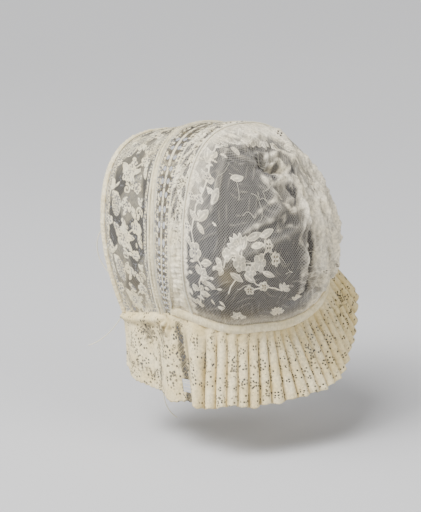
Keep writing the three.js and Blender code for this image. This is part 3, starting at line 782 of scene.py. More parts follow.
def lace_figures(x, y):
    """One repeat: a large flower with leaves, a pinholed panel, a scroll and two small flowers."""
    u = (x + LACE_REPEAT / 2) % LACE_REPEAT - LACE_REPEAT / 2
    figures = [
        flower(u, y, 10, 30, 8.5, 6, 15),
        spray(u, y, 10, 30, 15, 2, 60, 200, 5.5),
        spray(u, y, 10, 30, 15, 2, 50, 75, 5.0),
        flower(u, y, -2, 47, 5.5, 5, 40),
        leaf(u, y, 4, 50, 14, 54, 4.5),
        leaf(u, y, -8, 46, -17, 41, 4.5),
        scroll(u, y, -14, 50, 4.5, 1.3, 1.3, 60),
        flower(u, y, 22, 46, 4.5, 5, 10),
        leaf(u, y, 22, 18, 26, 8, 5),
        5.6 - np.hypot((u + 15) * 0.62, y - 21),
        leaf(u, y, -24, 34, -16, 27, 4),
        leaf(u, y, -20, 36, -12, 39, 4.2),
        leaf(u, y, -25, 48, -19, 53, 4.0),
        leaf(u, y, 16, 12, 23, 14, 3.6),
        flower(u, y, -24, 18, 4.4, 5, 25),
        spray(u, y, -14, 36, 8, 3, 110, -100, 3.2),
        spray(u, y, 2, 54, 7, 3, 120, -90, 3.0),
        scroll(u, y, 24, 32, 4.5, 1.2, 1.4, 200, -1),
        flower(u, y, 0, 13, 4.2, 5, 70),
        stem(u, y, [(-27, 11), (-20, 9.6), (-13, 11), (-6, 9.6), (1, 9), (8, 10.5), (15, 9.6),
                    (22, 10.5), (27, 11)], 2.0),
        stem(u, y, [(-27, 57.5), (-18, 58.6), (-9, 57.5), (0, 58.6), (9, 57.5), (18, 58.6),
                    (27, 57.5)], 2.2),
        stem(u, y, [(10, 30), (4, 38), (-2, 47)], 0.9),
        stem(u, y, [(10, 30), (18, 38), (22, 46)], 0.9),
    ]
    best = np.maximum.reduce(figures)
    draw = np.random.default_rng(5)
    for _ in range(14):
        from_x, from_y = draw.uniform(-25, 25), draw.uniform(11, 56)
        angle, length = draw.uniform(0, 2 * np.pi), draw.uniform(3.5, 7)
        tip = (from_x + length * np.cos(angle), from_y + length * np.sin(angle))
        best = np.maximum(best, leaf(u, y, from_x, from_y, *tip, draw.uniform(2.0, 3.4)))
    return best, u


def pattern_numbers(x, y, figures, rings, row, veil, stain):
    """Gathers a cloth's numbers for its material."""
    ring, near = nearest_ring(x, y, rings)
    return {"work": np.clip(figures, -3, 3), "ring": ring, "ring_near": near, "row": row,
            "veil": veil, "stain": stain}


def no_rings(shape):
    """The numbers of a cloth that has no rings of pinholes."""
    return {"ring": np.zeros((*shape, 3)), "ring_near": np.zeros(shape)}


lace_rows = np.linspace(LACE_FROM, LACE_TO, LACE_ROWS + 1)
lace_places, lace_downs, lace_x = band_strip(lace_rows, downs, 34.0)
figures, u = lace_figures(lace_x, lace_places)
rings = [(-15 + k, 21, r) for k in (-4.5, 0, 4.5) for r in (1.5, 3.6)]
rings += [(10, 30, 2.3), (22, 46, 1.4), (-2, 47, 1.6), (0, 13, 1.3)]
from_front_row, from_back_row = [np.abs(lace_places - row) for row in PIN_ROWS]
patches = np.sin(lace_x * 0.116 + 1) + np.sin(lace_places * 0.17 + lace_x * 0.05)
veil = 0.36 - 0.34 * share_between(patches, -0.6, 0.3) * share_between(lace_places, 11, 14)
veil = veil + 0.4 * share_between(lace_places, 12, 8) + 0.4 * share_between(lace_downs, 1.6, 1.85)
veil = veil + 0.25 * share_between(lace_downs, 0.75, 0.55)
row, stain = np.minimum(from_front_row, from_back_row), 0.12 * share_between(lace_downs, 1.2, 2)
lace_numbers = pattern_numbers(u, lace_places, figures, rings, row, veil, stain)
lace_numbers["pierced"] = np.maximum.reduce([
    share_between(from_front_row, 2.2, 1.2),
    share_between(from_back_row, 3.2, 2.0),
    share_between(np.hypot((u + 15) * 0.62, lace_places - 21), 6.0, 4.6),
    0.9 * share_between(np.sin(lace_x * 0.17 + 2) * np.sin(lace_places * 0.3 + 1), 0.0, 0.3),
])
broken = 0.6 + 0.4 * np.sin(lace_x * 0.23 + 1.4 * np.sin(lace_x * 0.051))
at_seams = 0.6 * bump_line(lace_places - 7.1, 0.8) + 0.7 * bump_line(lace_places - 60.7, 1.0)
lace_numbers["shade"] = at_seams * broken
relief = 0.35 * share_between(figures, -0.3, 0.5)
crinkle = 0.5 * np.sin(lace_x * 0.21 + 3 * np.sin(lace_places * 0.06))
crinkle = crinkle * np.sin(lace_places * 0.11 + 0.4)
lace_lift = relief - 0.3 + crinkle * share_between(lace_places, 8, 20)
lace_points = band_surface(lace_places, lace_downs, lace_lift)
lace_chart = np.stack([lace_x, lace_places], -1)
lace_band = lay_cloth("figured_lace_band", lace_points, lace_chart, lace_numbers)
# the near-black and grey colours are the painted shade of the single net's meshes and threads
LACE_FINISH = lace_finish("figured_lace", (0.97, 0.885, 0.645, 1), (0.91, 0.79, 0.51, 1), 2.2, 0.6,
                          0.95, (0.008, 0.007, 0.007, 1), (0.11, 0.10, 0.08, 1), gaps=1.0,
                          figure=1.0, doubled=0.5, bump=0.4)
wear(lace_band, LACE_FINISH, "figured_lace", "front_lace_band")
lace_length = np.ptp(lace_x[0]) * MM
lace_share = area_of(lace_points) / lace_length / LACE_CUT
print("lace band:", round(lace_length / MM), "by 56 mm, area share", round(lace_share, 2))

# %% [markdown]
# ## Tuck, insertion and crown tape
# Behind the lace the cloth is folded into a tuck, which stands up as a roll. Then come the narrow
# insertion with its square holes, cut out of the grid here so that they are real holes, and the
# plain tape, which puckers along the seam where the net is sewn to it.

# %% Tuck
TUCK_FROM, TUCK_WIDTH, TUCK_CUT = 62.15, 7.5, 0.0105
# the dark lines on the tuck: place across it, width and depth of shade
TUCK_HOLLOWS = ((0.55, 0.12, 0.75), (0.0, 0.12, 0.8), (1.0, 0.1, 0.6))
tuck_share = np.linspace(0, 1, 19)
tuck_places, tuck_downs, tuck_x = band_strip(TUCK_FROM + TUCK_WIDTH * tuck_share, downs, 34.0)
tuck_share = tuck_share[:, None]
tuck_roll = 2.0 * np.sin(np.pi * tuck_share) ** 0.6 - 1.5 * bump_line(tuck_share - 0.55, 0.1)
pucker = 0.22 * np.sin(tuck_x * 1.7 + 2 * np.sin(tuck_x * 0.2))
tuck_lift = tuck_roll + pucker * np.sin(np.pi * tuck_share)
tuck_points = band_surface(tuck_places, tuck_downs, tuck_lift)
TAPE_FINISH = tape_finish("fine_linen_tape", CREAM, (0.74, 0.67, 0.48, 1), 1.9)
uneven = 0.55 + 0.45 * np.sin(tuck_x * 0.19 + 1.3 * np.sin(tuck_x * 0.07))
hollows = sum(deep * bump_line(tuck_share - at, width) for at, width, deep in TUCK_HOLLOWS)
tuck_numbers = {"stain": 0.1 * share_between(tuck_places, 62, 64), "shade": hollows * uneven}
tuck_chart = np.stack([tuck_x, tuck_places], -1)
tuck = lay_cloth("sewn_tuck", tuck_points, tuck_chart, tuck_numbers, thickness=0.4)
wear(tuck, TAPE_FINISH, "plain_tape", "tuck_tape")

# %% Insertion with square holes
HOLE_PAIRS, CELLS_A_HOLE, CELLS_A_PAIR = 46, 5, 12
HOLE_ROWS = ((7, 11), (15, 19))
INSERTION_ROWS = 26
INSERTION_FROM, INSERTION_TO, INSERTION_CUT = 70.15, 86.7, 0.0175
INSERTION_MIDDLE = 78.4
steps = HOLE_PAIRS * CELLS_A_PAIR
insertion_rows = np.linspace(INSERTION_FROM, INSERTION_TO, INSERTION_ROWS + 1)
hole_downs = np.linspace(-2, 2, steps + 1)
insertion_places, insertion_downs, insertion_x = band_strip(insertion_rows, hole_downs, 78.0)
cell_x, cell_y = np.meshgrid(np.arange(steps) % CELLS_A_PAIR, np.arange(INSERTION_ROWS))
in_hole_x = cell_x < CELLS_A_HOLE
in_hole_y = np.logical_or.reduce([(cell_y >= first) & (cell_y < last) for first, last in HOLE_ROWS])
end_rows = [row for first, last in HOLE_ROWS for row in (first, last - 1)]
corner = np.isin(cell_x, (0, CELLS_A_HOLE - 1)) & np.isin(cell_y, end_rows)
v = insertion_x % 13 - 6.5
from_middle = np.abs(insertion_places - INSERTION_MIDDLE)
flecks = np.maximum.reduce([
    leaf(v, insertion_places, -5, 73, 1, 75, 2.6),
    leaf(v, insertion_places, 1, 72.5, 5, 74.5, 2.4),
    leaf(v, insertion_places, -4, 84.5, 2, 83, 2.6),
    flower(v, insertion_places, 5, 84, 2.2, 5),
    0.75 - from_middle,
    0.55 - np.abs(insertion_places - 70.9),
    0.55 - np.abs(insertion_places - 86.0),
])
open_work = share_between(np.sin(insertion_x * 0.21 + 1.5 * np.sin(insertion_x * 0.043)), -0.5, 0.1)
pair_length = np.ptp(insertion_x) / HOLE_PAIRS
pair_phase = insertion_x / pair_length % 1
hole_middle = CELLS_A_HOLE / CELLS_A_PAIR / 2
across_hole = 1 - share_between(np.abs(pair_phase - hole_middle), 0.24, 0.32)
cell_height = (INSERTION_TO - INSERTION_FROM) / INSERTION_ROWS
beside_hole = np.minimum.reduce([
    np.abs(insertion_places - INSERTION_FROM - (first + last) / 2 * cell_height)
    for first, last in HOLE_ROWS])
insertion_numbers = {
    "work": np.clip(flecks, -3, 3),
    "row": np.minimum(np.abs(insertion_places - 72.4), np.abs(insertion_places - 84.4)),
    "pierced": open_work * (1 - share_between(from_middle, 1.0, 0.4)),
    "veil": 0.28 + 0.2 * np.sin(insertion_x * 0.13 + 1) * np.sin(insertion_x * 0.031),
    "stain": 0.05 + 0 * insertion_places,
    "shade": 0.85 * across_hole * (1 - share_between(beside_hole, 1.3, 2.0)),
    **no_rings(insertion_places.shape),
}
rim = 0.25 * np.sin(insertion_x * 2 * np.pi / pair_length)
insertion_lift = 0.2 * share_between(flecks, -0.2, 0.4) - 0.2 + rim * 0.3
insertion_points = band_surface(insertion_places, insertion_downs, insertion_lift)
insertion_chart = np.stack([insertion_x, insertion_places], -1)
insertion = lay_cloth("pierced_insertion", insertion_points, insertion_chart, insertion_numbers,
                      gone=in_hole_x & in_hole_y & ~corner)
wear(insertion, LACE_FINISH, "figured_lace", "lace_insertion")

# %% Crown tape
TAPE_FROM, TAPE_WIDTH, TAPE_CUT = 87.15, 13.55, 0.0145
tape_share = np.linspace(0, 1, 21)
tape_places, tape_downs, tape_x = band_strip(TAPE_FROM + TAPE_WIDTH * tape_share, downs, 94.0)
tape_share = tape_share[:, None]
over_top = np.abs(tape_downs)
swell = np.sin(np.pi * tape_share)
long_crease = np.sin(tape_places * 1.25 + 1.1 * np.sin(tape_x * 0.11) + tape_x * 0.02)
gathers = 0.35 * np.sin(tape_x * 2.1 + 1.5 * np.sin(tape_x * 0.23))
gathers = gathers * share_between(tape_share, 0.5, 1)
creases = 0.8 * np.sin(tape_x * 0.35 + tape_places * 0.45 + np.sin(tape_x * 0.9)) * swell
creases = creases + 0.5 * np.sin(tape_x * 0.11 - tape_places * 0.42 + 1) ** 3 * swell
tape_lift = gathers + creases - 0.55 * share_between(long_crease, 0.4, 1.0)
tape_lift = tape_lift + 0.5 * bump_line(tape_share - 0.06, 0.06)
tape_points = band_surface(tape_places, tape_downs, tape_lift)
plain_end = share_between(over_top, 0.75, 1.2)
crease_shade = 0.35 * share_between(long_crease, 0.55, 1.0) * (0.6 + 0.4 * np.sin(tape_x * 0.37))
seam_shade = 0.5 * bump_line(tape_share - 1, 0.07) * (0.5 + 0.5 * np.sin(tape_x * 1.9))
off_fold = tape_share - 0.42 - 0.16 * np.sin(tape_x * 0.06)
fold_shade = 0.45 * bump_line(off_fold, 0.06) * share_between(over_top, 1.0, 0.8)
netted = np.sin(tape_x * 0.23 + 1.5 * np.sin(tape_places * 0.35))
netted = netted * np.sin(tape_places * 0.62 + tape_x * 0.09)
netted = (1 - plain_end) * share_between(netted, 0.05, 0.3)
open_work = np.sin(tape_x * 0.3) + np.sin(tape_places * 0.9 + tape_x * 0.11)
tape_numbers = {
    "pierced": 0.9 * (1 - plain_end) * share_between(open_work, -0.2, 0.5),
    "shade": crease_shade + seam_shade + fold_shade,
    "stain": 0.08 * share_between(over_top, 1.3, 2),
    "work": 0.2 + 2.8 * plain_end - 0.9 * netted,
    "veil": 1 - 0.75 * netted,
    "row": 5 + 0 * tape_places,
    **no_rings(tape_places.shape),
}
tape_chart = np.stack([tape_x, tape_places], -1)
crown_tape = lay_cloth("plain_crown_tape", tape_points, tape_chart, tape_numbers, thickness=0.4)
# the near-black and grey colours are the painted shade of meshes and threads where the tape shows
# net
CROWN_TAPE_FINISH = lace_finish("worn_linen_tape", (0.95, 0.865, 0.645, 1), (0.87, 0.765, 0.52, 1),
                                2.0, 0.7, 0.9, (0.03, 0.028, 0.026, 1), (0.3, 0.28, 0.25, 1),
                                gaps=1.0, bump=0.3)
wear(crown_tape, CROWN_TAPE_FINISH, "plain_tape", "crown_tape")

# %% [markdown]
# ## The bag of net
# Folds give the crown its look: ridges run into a knot of gathers high on the right, and long falls
# hang from it. Each fold is a bell-shaped ridge or hollow along a line on the net, and the same
# table shapes the solid, so cloth and solid agree. The cloth alone has what is too fine for a
# wall: fine gathers where the net meets the tape, thin creases round the knot where the net doubles
# over itself, short wrinkles between them, and waves on the long folds that hang on the right.

# %% Folds of the crown
# direction and down of each end, rise and width in mm; down is 0 at the top, 1 at the widest line
# and 2 at the tape
CROWN_FOLDS = [
    ("ridge into the knot", -66, 0.36, -33, 0.44, 3.2, 5.5),
    ("ridge over the top", -47, 0.34, -16, 0.24, 3, 5.5),
    ("peak", 66, 0.3, 26, 0.43, 5.4, 7.5),
    ("pocket of the knot", -28, 0.46, 0, 0.48, -6.8, 5.5),
    ("lip of the knot", -26, 0.53, -4, 0.55, 3.4, 5.5),
    ("fall of the knot", -27, 0.56, -24, 0.7, 3.5, 6.5),
    ("shoulder", -62, 0.38, -70, 0.74, 2.2, 6.5),
    ("upper slant", -9, 0.66, -48, 0.83, 3, 6.5),
    ("lower slant", 0, 0.77, -61, 0.98, 3.2, 6.5),
    ("inner fall", 4, 0.6, -8, 1.35, 3.8, 5.5),
    ("gap between falls", 4, 0.84, 1, 1.45, -6.1, 5.5),
    ("outer fall", 18, 0.68, 13, 1.5, 4.1, 6.5),
    ("edge fall", 40, 0.67, 29, 1.4, 3.5, 6.5),
    ("right fall", 62, 0.5, 56, 1.3, 3.2, 7.5),
]
# thin creases, where the net doubles over itself: height and width in mm, then direction and down
# of the points along each
CROWN_CREASES = [
    (1.0, 1.3, [(-64, 0.42), (-56, 0.34), (-46, 0.31), (-38, 0.36), (-33, 0.42), (-32, 0.50)]),
    (1.3, 1.4, [(-30, 0.47), (-31, 0.55), (-28, 0.60), (-23, 0.64), (-32, 0.69), (-42, 0.75)]),
    (1.7, 2.0, [(-18, 0.39), (11, 0.36), (21, 0.42), (0, 0.52), (-18, 0.55), (-26, 0.49)]),
    (1.8, 1.3, [(-16, 0.44), (2, 0.41), (3, 0.46), (-12, 0.50)]),
    (2.4, 1.7, [(-26, 0.58), (-12, 0.54), (2, 0.57), (8, 0.63), (2, 0.69), (-12, 0.71),
                (-21, 0.68)]),
    (1.1, 1.3, [(13, 0.63), (-15, 0.73), (-30, 0.77), (-45, 0.81), (-56, 0.88), (-62, 0.93)]),
    (1.0, 1.0, [(-2, 0.68), (-23, 0.78), (-36, 0.84), (-48, 0.92)]),
    (1.0, 1.2, [(-13, 0.78), (-28, 0.82), (-38, 0.86), (-52, 0.92)]),
    (1.2, 1.2, [(3, 0.69), (-4, 0.78), (-8, 0.85), (-3, 0.93), (-8, 1.10), (-10, 1.48)]),
    (1.4, 1.5, [(18, 0.73), (18, 0.81), (10, 0.90), (6, 1.09), (-2, 1.60)]),
    (0.9, 1.2, [(-28, 1.07), (-22, 1.25), (-14, 1.29)]),
    (1.6, 1.6, [(-40, 0.12), (-17, 0.23), (48, 0.25), (44, 0.36)]),
    (1.5, 1.6, [(-90, 0.12), (-48, 0.22), (-33, 0.29)]),
    (1.8, 1.8, [(58, 0.52), (46, 0.60), (34, 0.70), (30, 0.84), (28, 1.2)]),
    (1.6, 1.8, [(64, 0.45), (50, 0.56), (28, 0.66), (22, 0.8)]),
    (0.6, 1.1, [(-68, 0.38), (-68, 0.58), (-70, 0.73), (-72, 0.82)]),
    (1.0, 0.9, [(-6, 0.85), (0, 0.90), (-9, 0.95), (-6, 1.06)]),
    (1.5, 1.8, [(70, 0.5), (66, 0.9), (58, 1.5)]),
    (1.4, 1.6, [(46, 0.7), (44, 1.0), (38, 1.6)]),
]
# hollows of painted shade between the creases: direction, down, radius in mm
CROWN_HOLLOWS = [(-6, 0.455, 3.4), (-5, 0.62, 4.2), (-24, 0.50, 4.0), (10, 0.48, 3.0)]
# direction and down of points along the line of painted shade in the gap between the falls
DARK_GAP = [(6, 0.83), (5, 0.93), (0, 1.12), (-5, 1.47)]
WIDEST_MM_PER_DEGREE = 1.35
RIB_UPPER_MM, RIB_LOWER_MM = 130.0, 52.0
CROWN_COLUMNS, CROWN_ROWS = 310, 226


def rib_length(down):
    """Distance along a rib from the top, in mm."""
    return np.where(down <= 1, RIB_UPPER_MM * down, RIB_UPPER_MM + RIB_LOWER_MM * (down - 1))


def net_place(direction, down):
    """Place on the net in mm: across by direction, narrower near the top, and down a rib."""
    spread = WIDEST_MM_PER_DEGREE * np.maximum(0.3, np.sin(np.minimum(down, 1) * np.pi / 2))
    return direction * spread, rib_length(down)


def at(where, depth):
    """A charted place on the net, in mm."""
    across, length = net_place(float(where), np.array(depth))
    return float(across), float(length)


def from_fold(direction, down, fold):
    """Distance to a fold's line, and how far along it the nearest point lies."""
    _, from_direction, from_down, to_direction, to_down, _, _ = fold
    spread = WIDEST_MM_PER_DEGREE * np.maximum(0.3, np.sin(np.minimum(down, 1) * np.pi / 2))
    along_x = (to_direction - from_direction) * spread
    along_y = rib_length(to_down) - rib_length(from_down)
    off_x = (direction - from_direction) * spread
    off_y = rib_length(down) - rib_length(from_down)
    t = np.clip((off_x * along_x + off_y * along_y) / (along_x**2 + along_y**2), 0, 1)
    return np.hypot(off_x - t * along_x, off_y - t * along_y), t


def along_creases(direction, down):
    """How much each place belongs to a crease, from 0 to 1, and the creases' height there."""
    x, y = net_place(direction, down)
    on_crease, height = np.zeros(np.shape(x)), np.zeros(np.shape(x))
    for crease_height, width, points in CROWN_CREASES:
        line = [at(where, depth) for where, depth in points]
        wander = 0.5 * np.sin(x * 0.5 + y * 0.37)
        uneven_width = width * (1 + 0.3 * np.sin(x * 0.23 + y * 0.31))
        ridge = bump_line(-stem(x, y, line, 0) + wander, uneven_width)
        ridge = ridge * (0.72 + 0.28 * np.sin(x * 0.4 - y * 0.33))
        on_crease = np.maximum(on_crease, 0.5 * crease_height * ridge)
        height = np.maximum(height, crease_height * ridge)
    return on_crease, height


def fine_wrinkles(x, y):
    """Short thin wrinkles, mostly level, in patches: the sharp crests of a wavering wave."""
    line = y * 0.47 + 2.3 * np.sin(x * 0.083 + 1) + 1.2 * np.sin(x * 0.21 + y * 0.13)
    patches = np.sin(x * 0.19 + y * 0.23) * np.sin(x * 0.071 - y * 0.11 + 2)
    steep = x * 0.5 + y * 0.28 + 1.4 * np.sin(y * 0.09)
    level_ones = (1 - np.abs(np.sin(line))) ** 3 * share_between(patches, 0.0, 0.5)
    steep_ones = (1 - np.abs(np.sin(steep))) ** 4 * share_between(patches, -0.15, -0.6)
    return np.maximum(level_ones, steep_ones)


def hanging_folds(direction, down):
    """Where the long folds on the right hang, and their wave: 1 on a crest, 0 in a valley."""
    falls = share_between(direction, -16, 4) * share_between(down, 0.42, 0.66)
    falls = falls * share_between(down, 1.75, 1.4)
    line = direction * 0.36 + 1.3 * np.sin(down * 5 + direction * 0.06)
    return falls, 1 - np.abs(np.sin(line))


def net_laid_double(direction, down):
    """How closed the doubled net looks: in patches, with thin bright crests toward the knot."""
    x, y = net_place(direction, down)
    patches = np.sin(x * 0.13 + 1.8 * np.sin(y * 0.08)) * np.sin(y * 0.1 + 1.4 * np.sin(x * 0.07))
    crests = (1 - np.abs(np.sin(x * 0.4 + 1.6 * np.sin(y * 0.06 + x * 0.03)))) ** 5
    crossing = (1 - np.abs(np.sin(x * 0.17 + y * 0.23 + 1.2 * np.sin(x * 0.1)))) ** 6
    return np.clip(0.5 + 0.22 * patches + 0.5 * np.maximum(crests, 0.8 * crossing), 0, 1)


def crown_rise(direction, down):
    """Folds, the gathers toward the tape and fine creases round the knot, in mm."""
    rise = np.zeros(np.shape(direction))
    for fold in CROWN_FOLDS:
        distance, _ = from_fold(direction, down, fold)
        height, width = fold[5:]
        soft, sharp = bump_line(distance, width), bump_line(distance, width * 0.4)
        rise += height * (0.75 * soft + 0.45 * sharp)
    gathered = np.clip((direction + 25) / 40, 0, 1)
    below = np.clip(down - 1, 0, 1)
    rise += 1.5 * gathered * below**1.5 * np.cos(2 * np.pi * direction / 15)
    rise += 0.55 * below**2 * np.cos(2 * np.pi * direction / 3.1 + 2 * np.sin(direction * 0.21))
    x, y = net_place(direction, down)
    knot_x, knot_y = net_place(-20.0, np.array(0.47))
    r, angle = np.hypot(x - knot_x, y - knot_y), np.arctan2(y - knot_y, x - knot_x)
    rise += 1.1 * np.cos(7 * angle + 0.12 * r) * np.exp(-((r / 17) ** 2)) * np.clip(r / 5, 0, 1)
    rise += 0.5 * np.cos(13 * angle + 1) * np.exp(-((r / 24) ** 2)) * np.clip(r / 8, 0, 1)
    rolling = 0.35 * np.sin(x * 0.33 + 1.7 * np.sin(y * 0.09))
    rise += rolling * np.sin(y * 0.13 + 0.7 * np.sin(x * 0.11))
    near_knot = np.exp(-((r / 19) ** 2))
    falls, hanging = hanging_folds(direction, down)
    draw = np.random.default_rng(19)
    for _ in range(7):
        turn, wavelength = draw.uniform(0, np.pi), draw.uniform(7, 13)
        start, bend = draw.uniform(0, 6, 2)
        line = (x * np.cos(turn) + y * np.sin(turn)) * np.pi / wavelength + start
        line = line + 0.9 * np.sin((x * np.sin(turn) - y * np.cos(turn)) * 0.13 + bend)
        crest = (1 - np.abs(np.sin(line))) ** 2
        rise += (1.15 * near_knot + 0.45 * falls + 0.16) * (crest - 0.3)
    rise += 2.8 * falls * (hanging**1.5 - 0.35)
    rays = (1 - np.abs(np.sin(4.5 * angle + 0.02 * r + 0.6 * np.sin(r * 0.09)))) ** 6
    rise += 0.8 * rays * np.exp(-(((r - 24) / 17) ** 2))
    rise += along_creases(direction, down)[1] + 0.7 * fine_wrinkles(x, y)
    folded_over = np.maximum(falls, share_between(down, 0.34, 0.2))
    rise += 0.9 * net_laid_double(direction, down) * folded_over
    from_seam = np.clip((90 - np.abs(direction)) / 12, 0, 1)
    from_top = np.clip(down / 0.15, 0, 1)
    from_tape = np.clip((2 - down) / 0.12, 0.3, 1)
    return rise * from_seam * from_top * from_tape


print(len(CROWN_FOLDS), "folds on the crown")

# %% [markdown]
# ## Flowers on the net
# The worked sprays are charted on the net: flowers, leaf fans and trails where the real ones lie,
# and the plain net between them. Where the net hangs in several layers, at the knot and in the
# falls on the right, it is whiter and closed, and a number called veil says so.

# %% Net figures
# direction, down, radius, petals, turn and the radius of its ring of pinholes
NET_FLOWERS = [
    (-75, 0.56, 5.0, 5, 20, 1.5), (-86, 0.69, 3.4, 6, 0, 1.5), (-80, 0.70, 3.4, 6, 0, 1.4),
    (-87, 0.86, 3.4, 6, 0, 1.5), (-81, 0.97, 5.4, 5, 10, 1.6), (-34, 0.89, 4.3, 6, 0, 1.6),
    (-28, 0.95, 4.5, 6, 20, 1.7), (-39, 0.97, 5.8, 5, 0, 0), (-52, 0.98, 5.4, 5, 30, 0),
    (-60, 0.95, 3.8, 4, 0, 0), (-36, 1.27, 4.4, 5, 0, 1.5), (-46, 1.34, 4.2, 5, 50, 1.5),
    (-45, 1.04, 4.6, 5, 80, 0), (-70, 0.30, 5.0, 5, 0, 1.6), (-30, 0.28, 4.6, 5, 40, 0),
    (10, 0.33, 5.0, 6, 0, 1.6), (34, 0.60, 6.0, 6, 0, 1.8), (30, 1.05, 5.5, 5, 0, 1.6),
    (72, 0.50, 5.0, 6, 0, 1.6), (60, 0.82, 5.0, 5, 0, 0), (48, 0.74, 5.6, 6, 15, 1.6),
    (26, 1.32, 5.0, 5, 0, 1.5), (14, 1.08, 4.2, 5, 30, 1.4), (64, 1.12, 5.2, 6, 0, 1.6),
    (40, 1.48, 4.6, 5, 20, 1.4), (84, 1.15, 4.8, 5, 0, 1.5), (80, 0.30, 4.6, 5, 0, 1.5),
    (56, 0.30, 4.6, 5, 30, 1.5), (50, 1.25, 4.6, 5, 0, 1.5), (78, 0.85, 4.6, 5, 30, 0),
    (20, 0.80, 4.6, 5, 0, 0), (66, 1.40, 4.2, 5, 0, 1.4),
]
# direction, down, length, number of leaves, spread and turn in degrees (0 across, 90 down), width
NET_SPRAYS = [
    (-51, 0.93, 12, 6, 125, -125, 4.0), (-78, 1.24, 9, 4, 150, -30, 4.2),
    (-80, 1.52, 8, 3, 130, -60, 4.0), (-27, 1.86, 10, 6, 120, -90, 3.0),
    (-22, 1.36, 8, 4, 110, -60, 3.2), (-58, 1.87, 7, 4, 150, -90, 3.4),
    (-84, 1.76, 6, 3, 120, -70, 3.4), (-8, 1.62, 10, 4, 90, -100, 3.0),
    (-62, 1.02, 8, 3, 90, 165, 3.8), (-44, 0.26, 9, 5, 160, 60, 4.0),
    (-12, 0.27, 9, 4, 140, 120, 4.0), (40, 0.34, 9, 5, 150, 60, 4.0),
    (50, 0.95, 10, 5, 150, -90, 4.2), (72, 1.15, 9, 4, 120, -80, 4.2),
    (18, 1.3, 9, 4, 100, -90, 3.4),
]
# direction and down of both ends, and width
NET_LEAVES = [
    (-86, 0.77, -80, 0.82, 4.6), (-80, 0.82, -72, 0.75, 4.8), (-80, 0.83, -75, 0.88, 4.0),
    (-88, 0.90, -84, 0.95, 3.6), (-48, 0.87, -38, 0.83, 4.4), (-39, 0.85, -29, 0.81, 4.2),
    (-45, 0.90, -37, 0.88, 3.6), (-58, 1.08, -50, 1.20, 5.0), (-49, 1.08, -42, 1.20, 4.8),
    (-37, 1.03, -29, 1.10, 4.4), (-57, 0.55, -47, 0.53, 5.0), (-78, 0.42, -71, 0.38, 4.4),
    (-75, 0.62, -68, 0.66, 4.2), (-70, 0.72, -66, 0.62, 3.8), (-86, 0.55, -80, 0.60, 4.0),
    (-77, 1.04, -70, 1.0, 4.2), (-74, 1.30, -68, 1.38, 4.0), (-56, 0.33, -50, 0.40, 4.4),
    (-83, 0.34, -79, 0.46, 4.4), (-26, 0.60, -18, 0.66, 4.0),
]
NET_STEMS = [
    [(-74, 0.30), (-76, 0.45), (-75, 0.56), (-77, 0.64), (-82, 0.74), (-84, 0.88), (-81, 0.97),
     (-77, 1.08), (-76, 1.19), (-79, 1.35), (-79, 1.5), (-82, 1.76)],
    [(-62, 1.02), (-60, 0.95), (-52, 0.98), (-46, 1.05), (-44, 1.16), (-41, 1.24), (-36, 1.27)],
    [(-28, 0.95), (-34, 0.89), (-39, 0.97), (-52, 0.98), (-51, 0.93)],
    [(-52, 1.10), (-58, 1.3), (-60, 1.42)],
    [(-46, 1.34), (-40, 1.3), (-36, 1.27), (-28, 1.3), (-22, 1.36)],
    [(10, 0.33), (24, 0.45), (34, 0.60), (40, 0.8), (30, 1.05), (40, 1.2), (50, 1.25)],
]
SPRIGS = 150


def net_figures(direction, down):
    """All the figures of the crown as distances, with sprigs strewn near the seams and the knot."""
    x, y = net_place(direction, down)
    figures = np.full(np.shape(x), -9.0)
    for where, depth, radius, petals, turn, _ in NET_FLOWERS:
        figures = np.maximum(figures, flower(x, y, *at(where, depth), radius, petals, turn))
    for where, depth, length, leaves, spread, turn, width in NET_SPRAYS:
        fan = spray(x, y, *at(where, depth), length, leaves, spread, turn, width)
        figures = np.maximum(figures, fan)
    for where, depth, to_where, to_depth, width in NET_LEAVES:
        figures = np.maximum(figures, leaf(x, y, *at(where, depth), *at(to_where, to_depth), width))
    for points in NET_STEMS:
        figures = np.maximum(figures, stem(x, y, [at(*p) for p in points], 0.6))
    draw = np.random.default_rng(11)
    for _ in range(SPRIGS):
        zone = draw.integers(0, 3)
        where = (draw.uniform(-89, -67), draw.uniform(-80, 80), draw.uniform(10, 88))[zone]
        depth = (draw.uniform(0.2, 1.7), draw.uniform(0.08, 0.27), draw.uniform(0.4, 1.6))[zone]
        from_x, from_y = at(where, depth)
        angle, length = draw.uniform(0, 2 * np.pi), draw.uniform(3.5, 6.5)
        tip = (from_x + length * np.cos(angle), from_y + length * np.sin(angle))
        figures = np.maximum(figures, leaf(x, y, from_x, from_y, *tip, draw.uniform(1.6, 2.6)))
    rings = [(*at(where, depth), ring) for where, depth, _, _, _, ring in NET_FLOWERS if ring]
    return figures, rings, x, y


direction, down = np.meshgrid(np.linspace(-90, 90, CROWN_COLUMNS + 1),
                              np.linspace(0, 2, CROWN_ROWS + 1))
crown_base = crown_form(direction, down)
inner_direction, inner_down = np.clip(direction, -89.9, 89.9), np.clip(down, 0.02, 1.98)
crown_normal = facing(crown_form, inner_direction, inner_down, 0.1, 0.01)
crown_normal = outward(crown_normal, crown_base)
figures, rings, net_x, net_y = net_figures(direction, down)
rise = crown_rise(direction, down)
crown_lift = rise + 0.3 * share_between(figures, -0.3, 0.4) - 0.3
crown_points = crown_base + crown_normal * crown_lift[..., None]
crown_points[0] = crown_points[0].mean(0)
crown_points[-1] -= np.array([0, 0, 1.2])
knot_x, knot_y = net_place(-5.0, np.array(0.53))
from_knot = np.hypot(net_x - knot_x, net_y - knot_y)
on_crease, _ = along_creases(direction, down)
doubled = net_laid_double(direction, down)
veil = 0.15 + 0.2 * fine_wrinkles(net_x, net_y) + 0.95 * doubled * np.exp(-((from_knot / 18) ** 2))
veil = veil + 0.8 * doubled * share_between(direction, -12, 14) * share_between(down, 0.45, 0.7)
veil = veil + 0.3 * doubled * share_between(direction, 24, 44) * share_between(down, 0.3, 0.5)
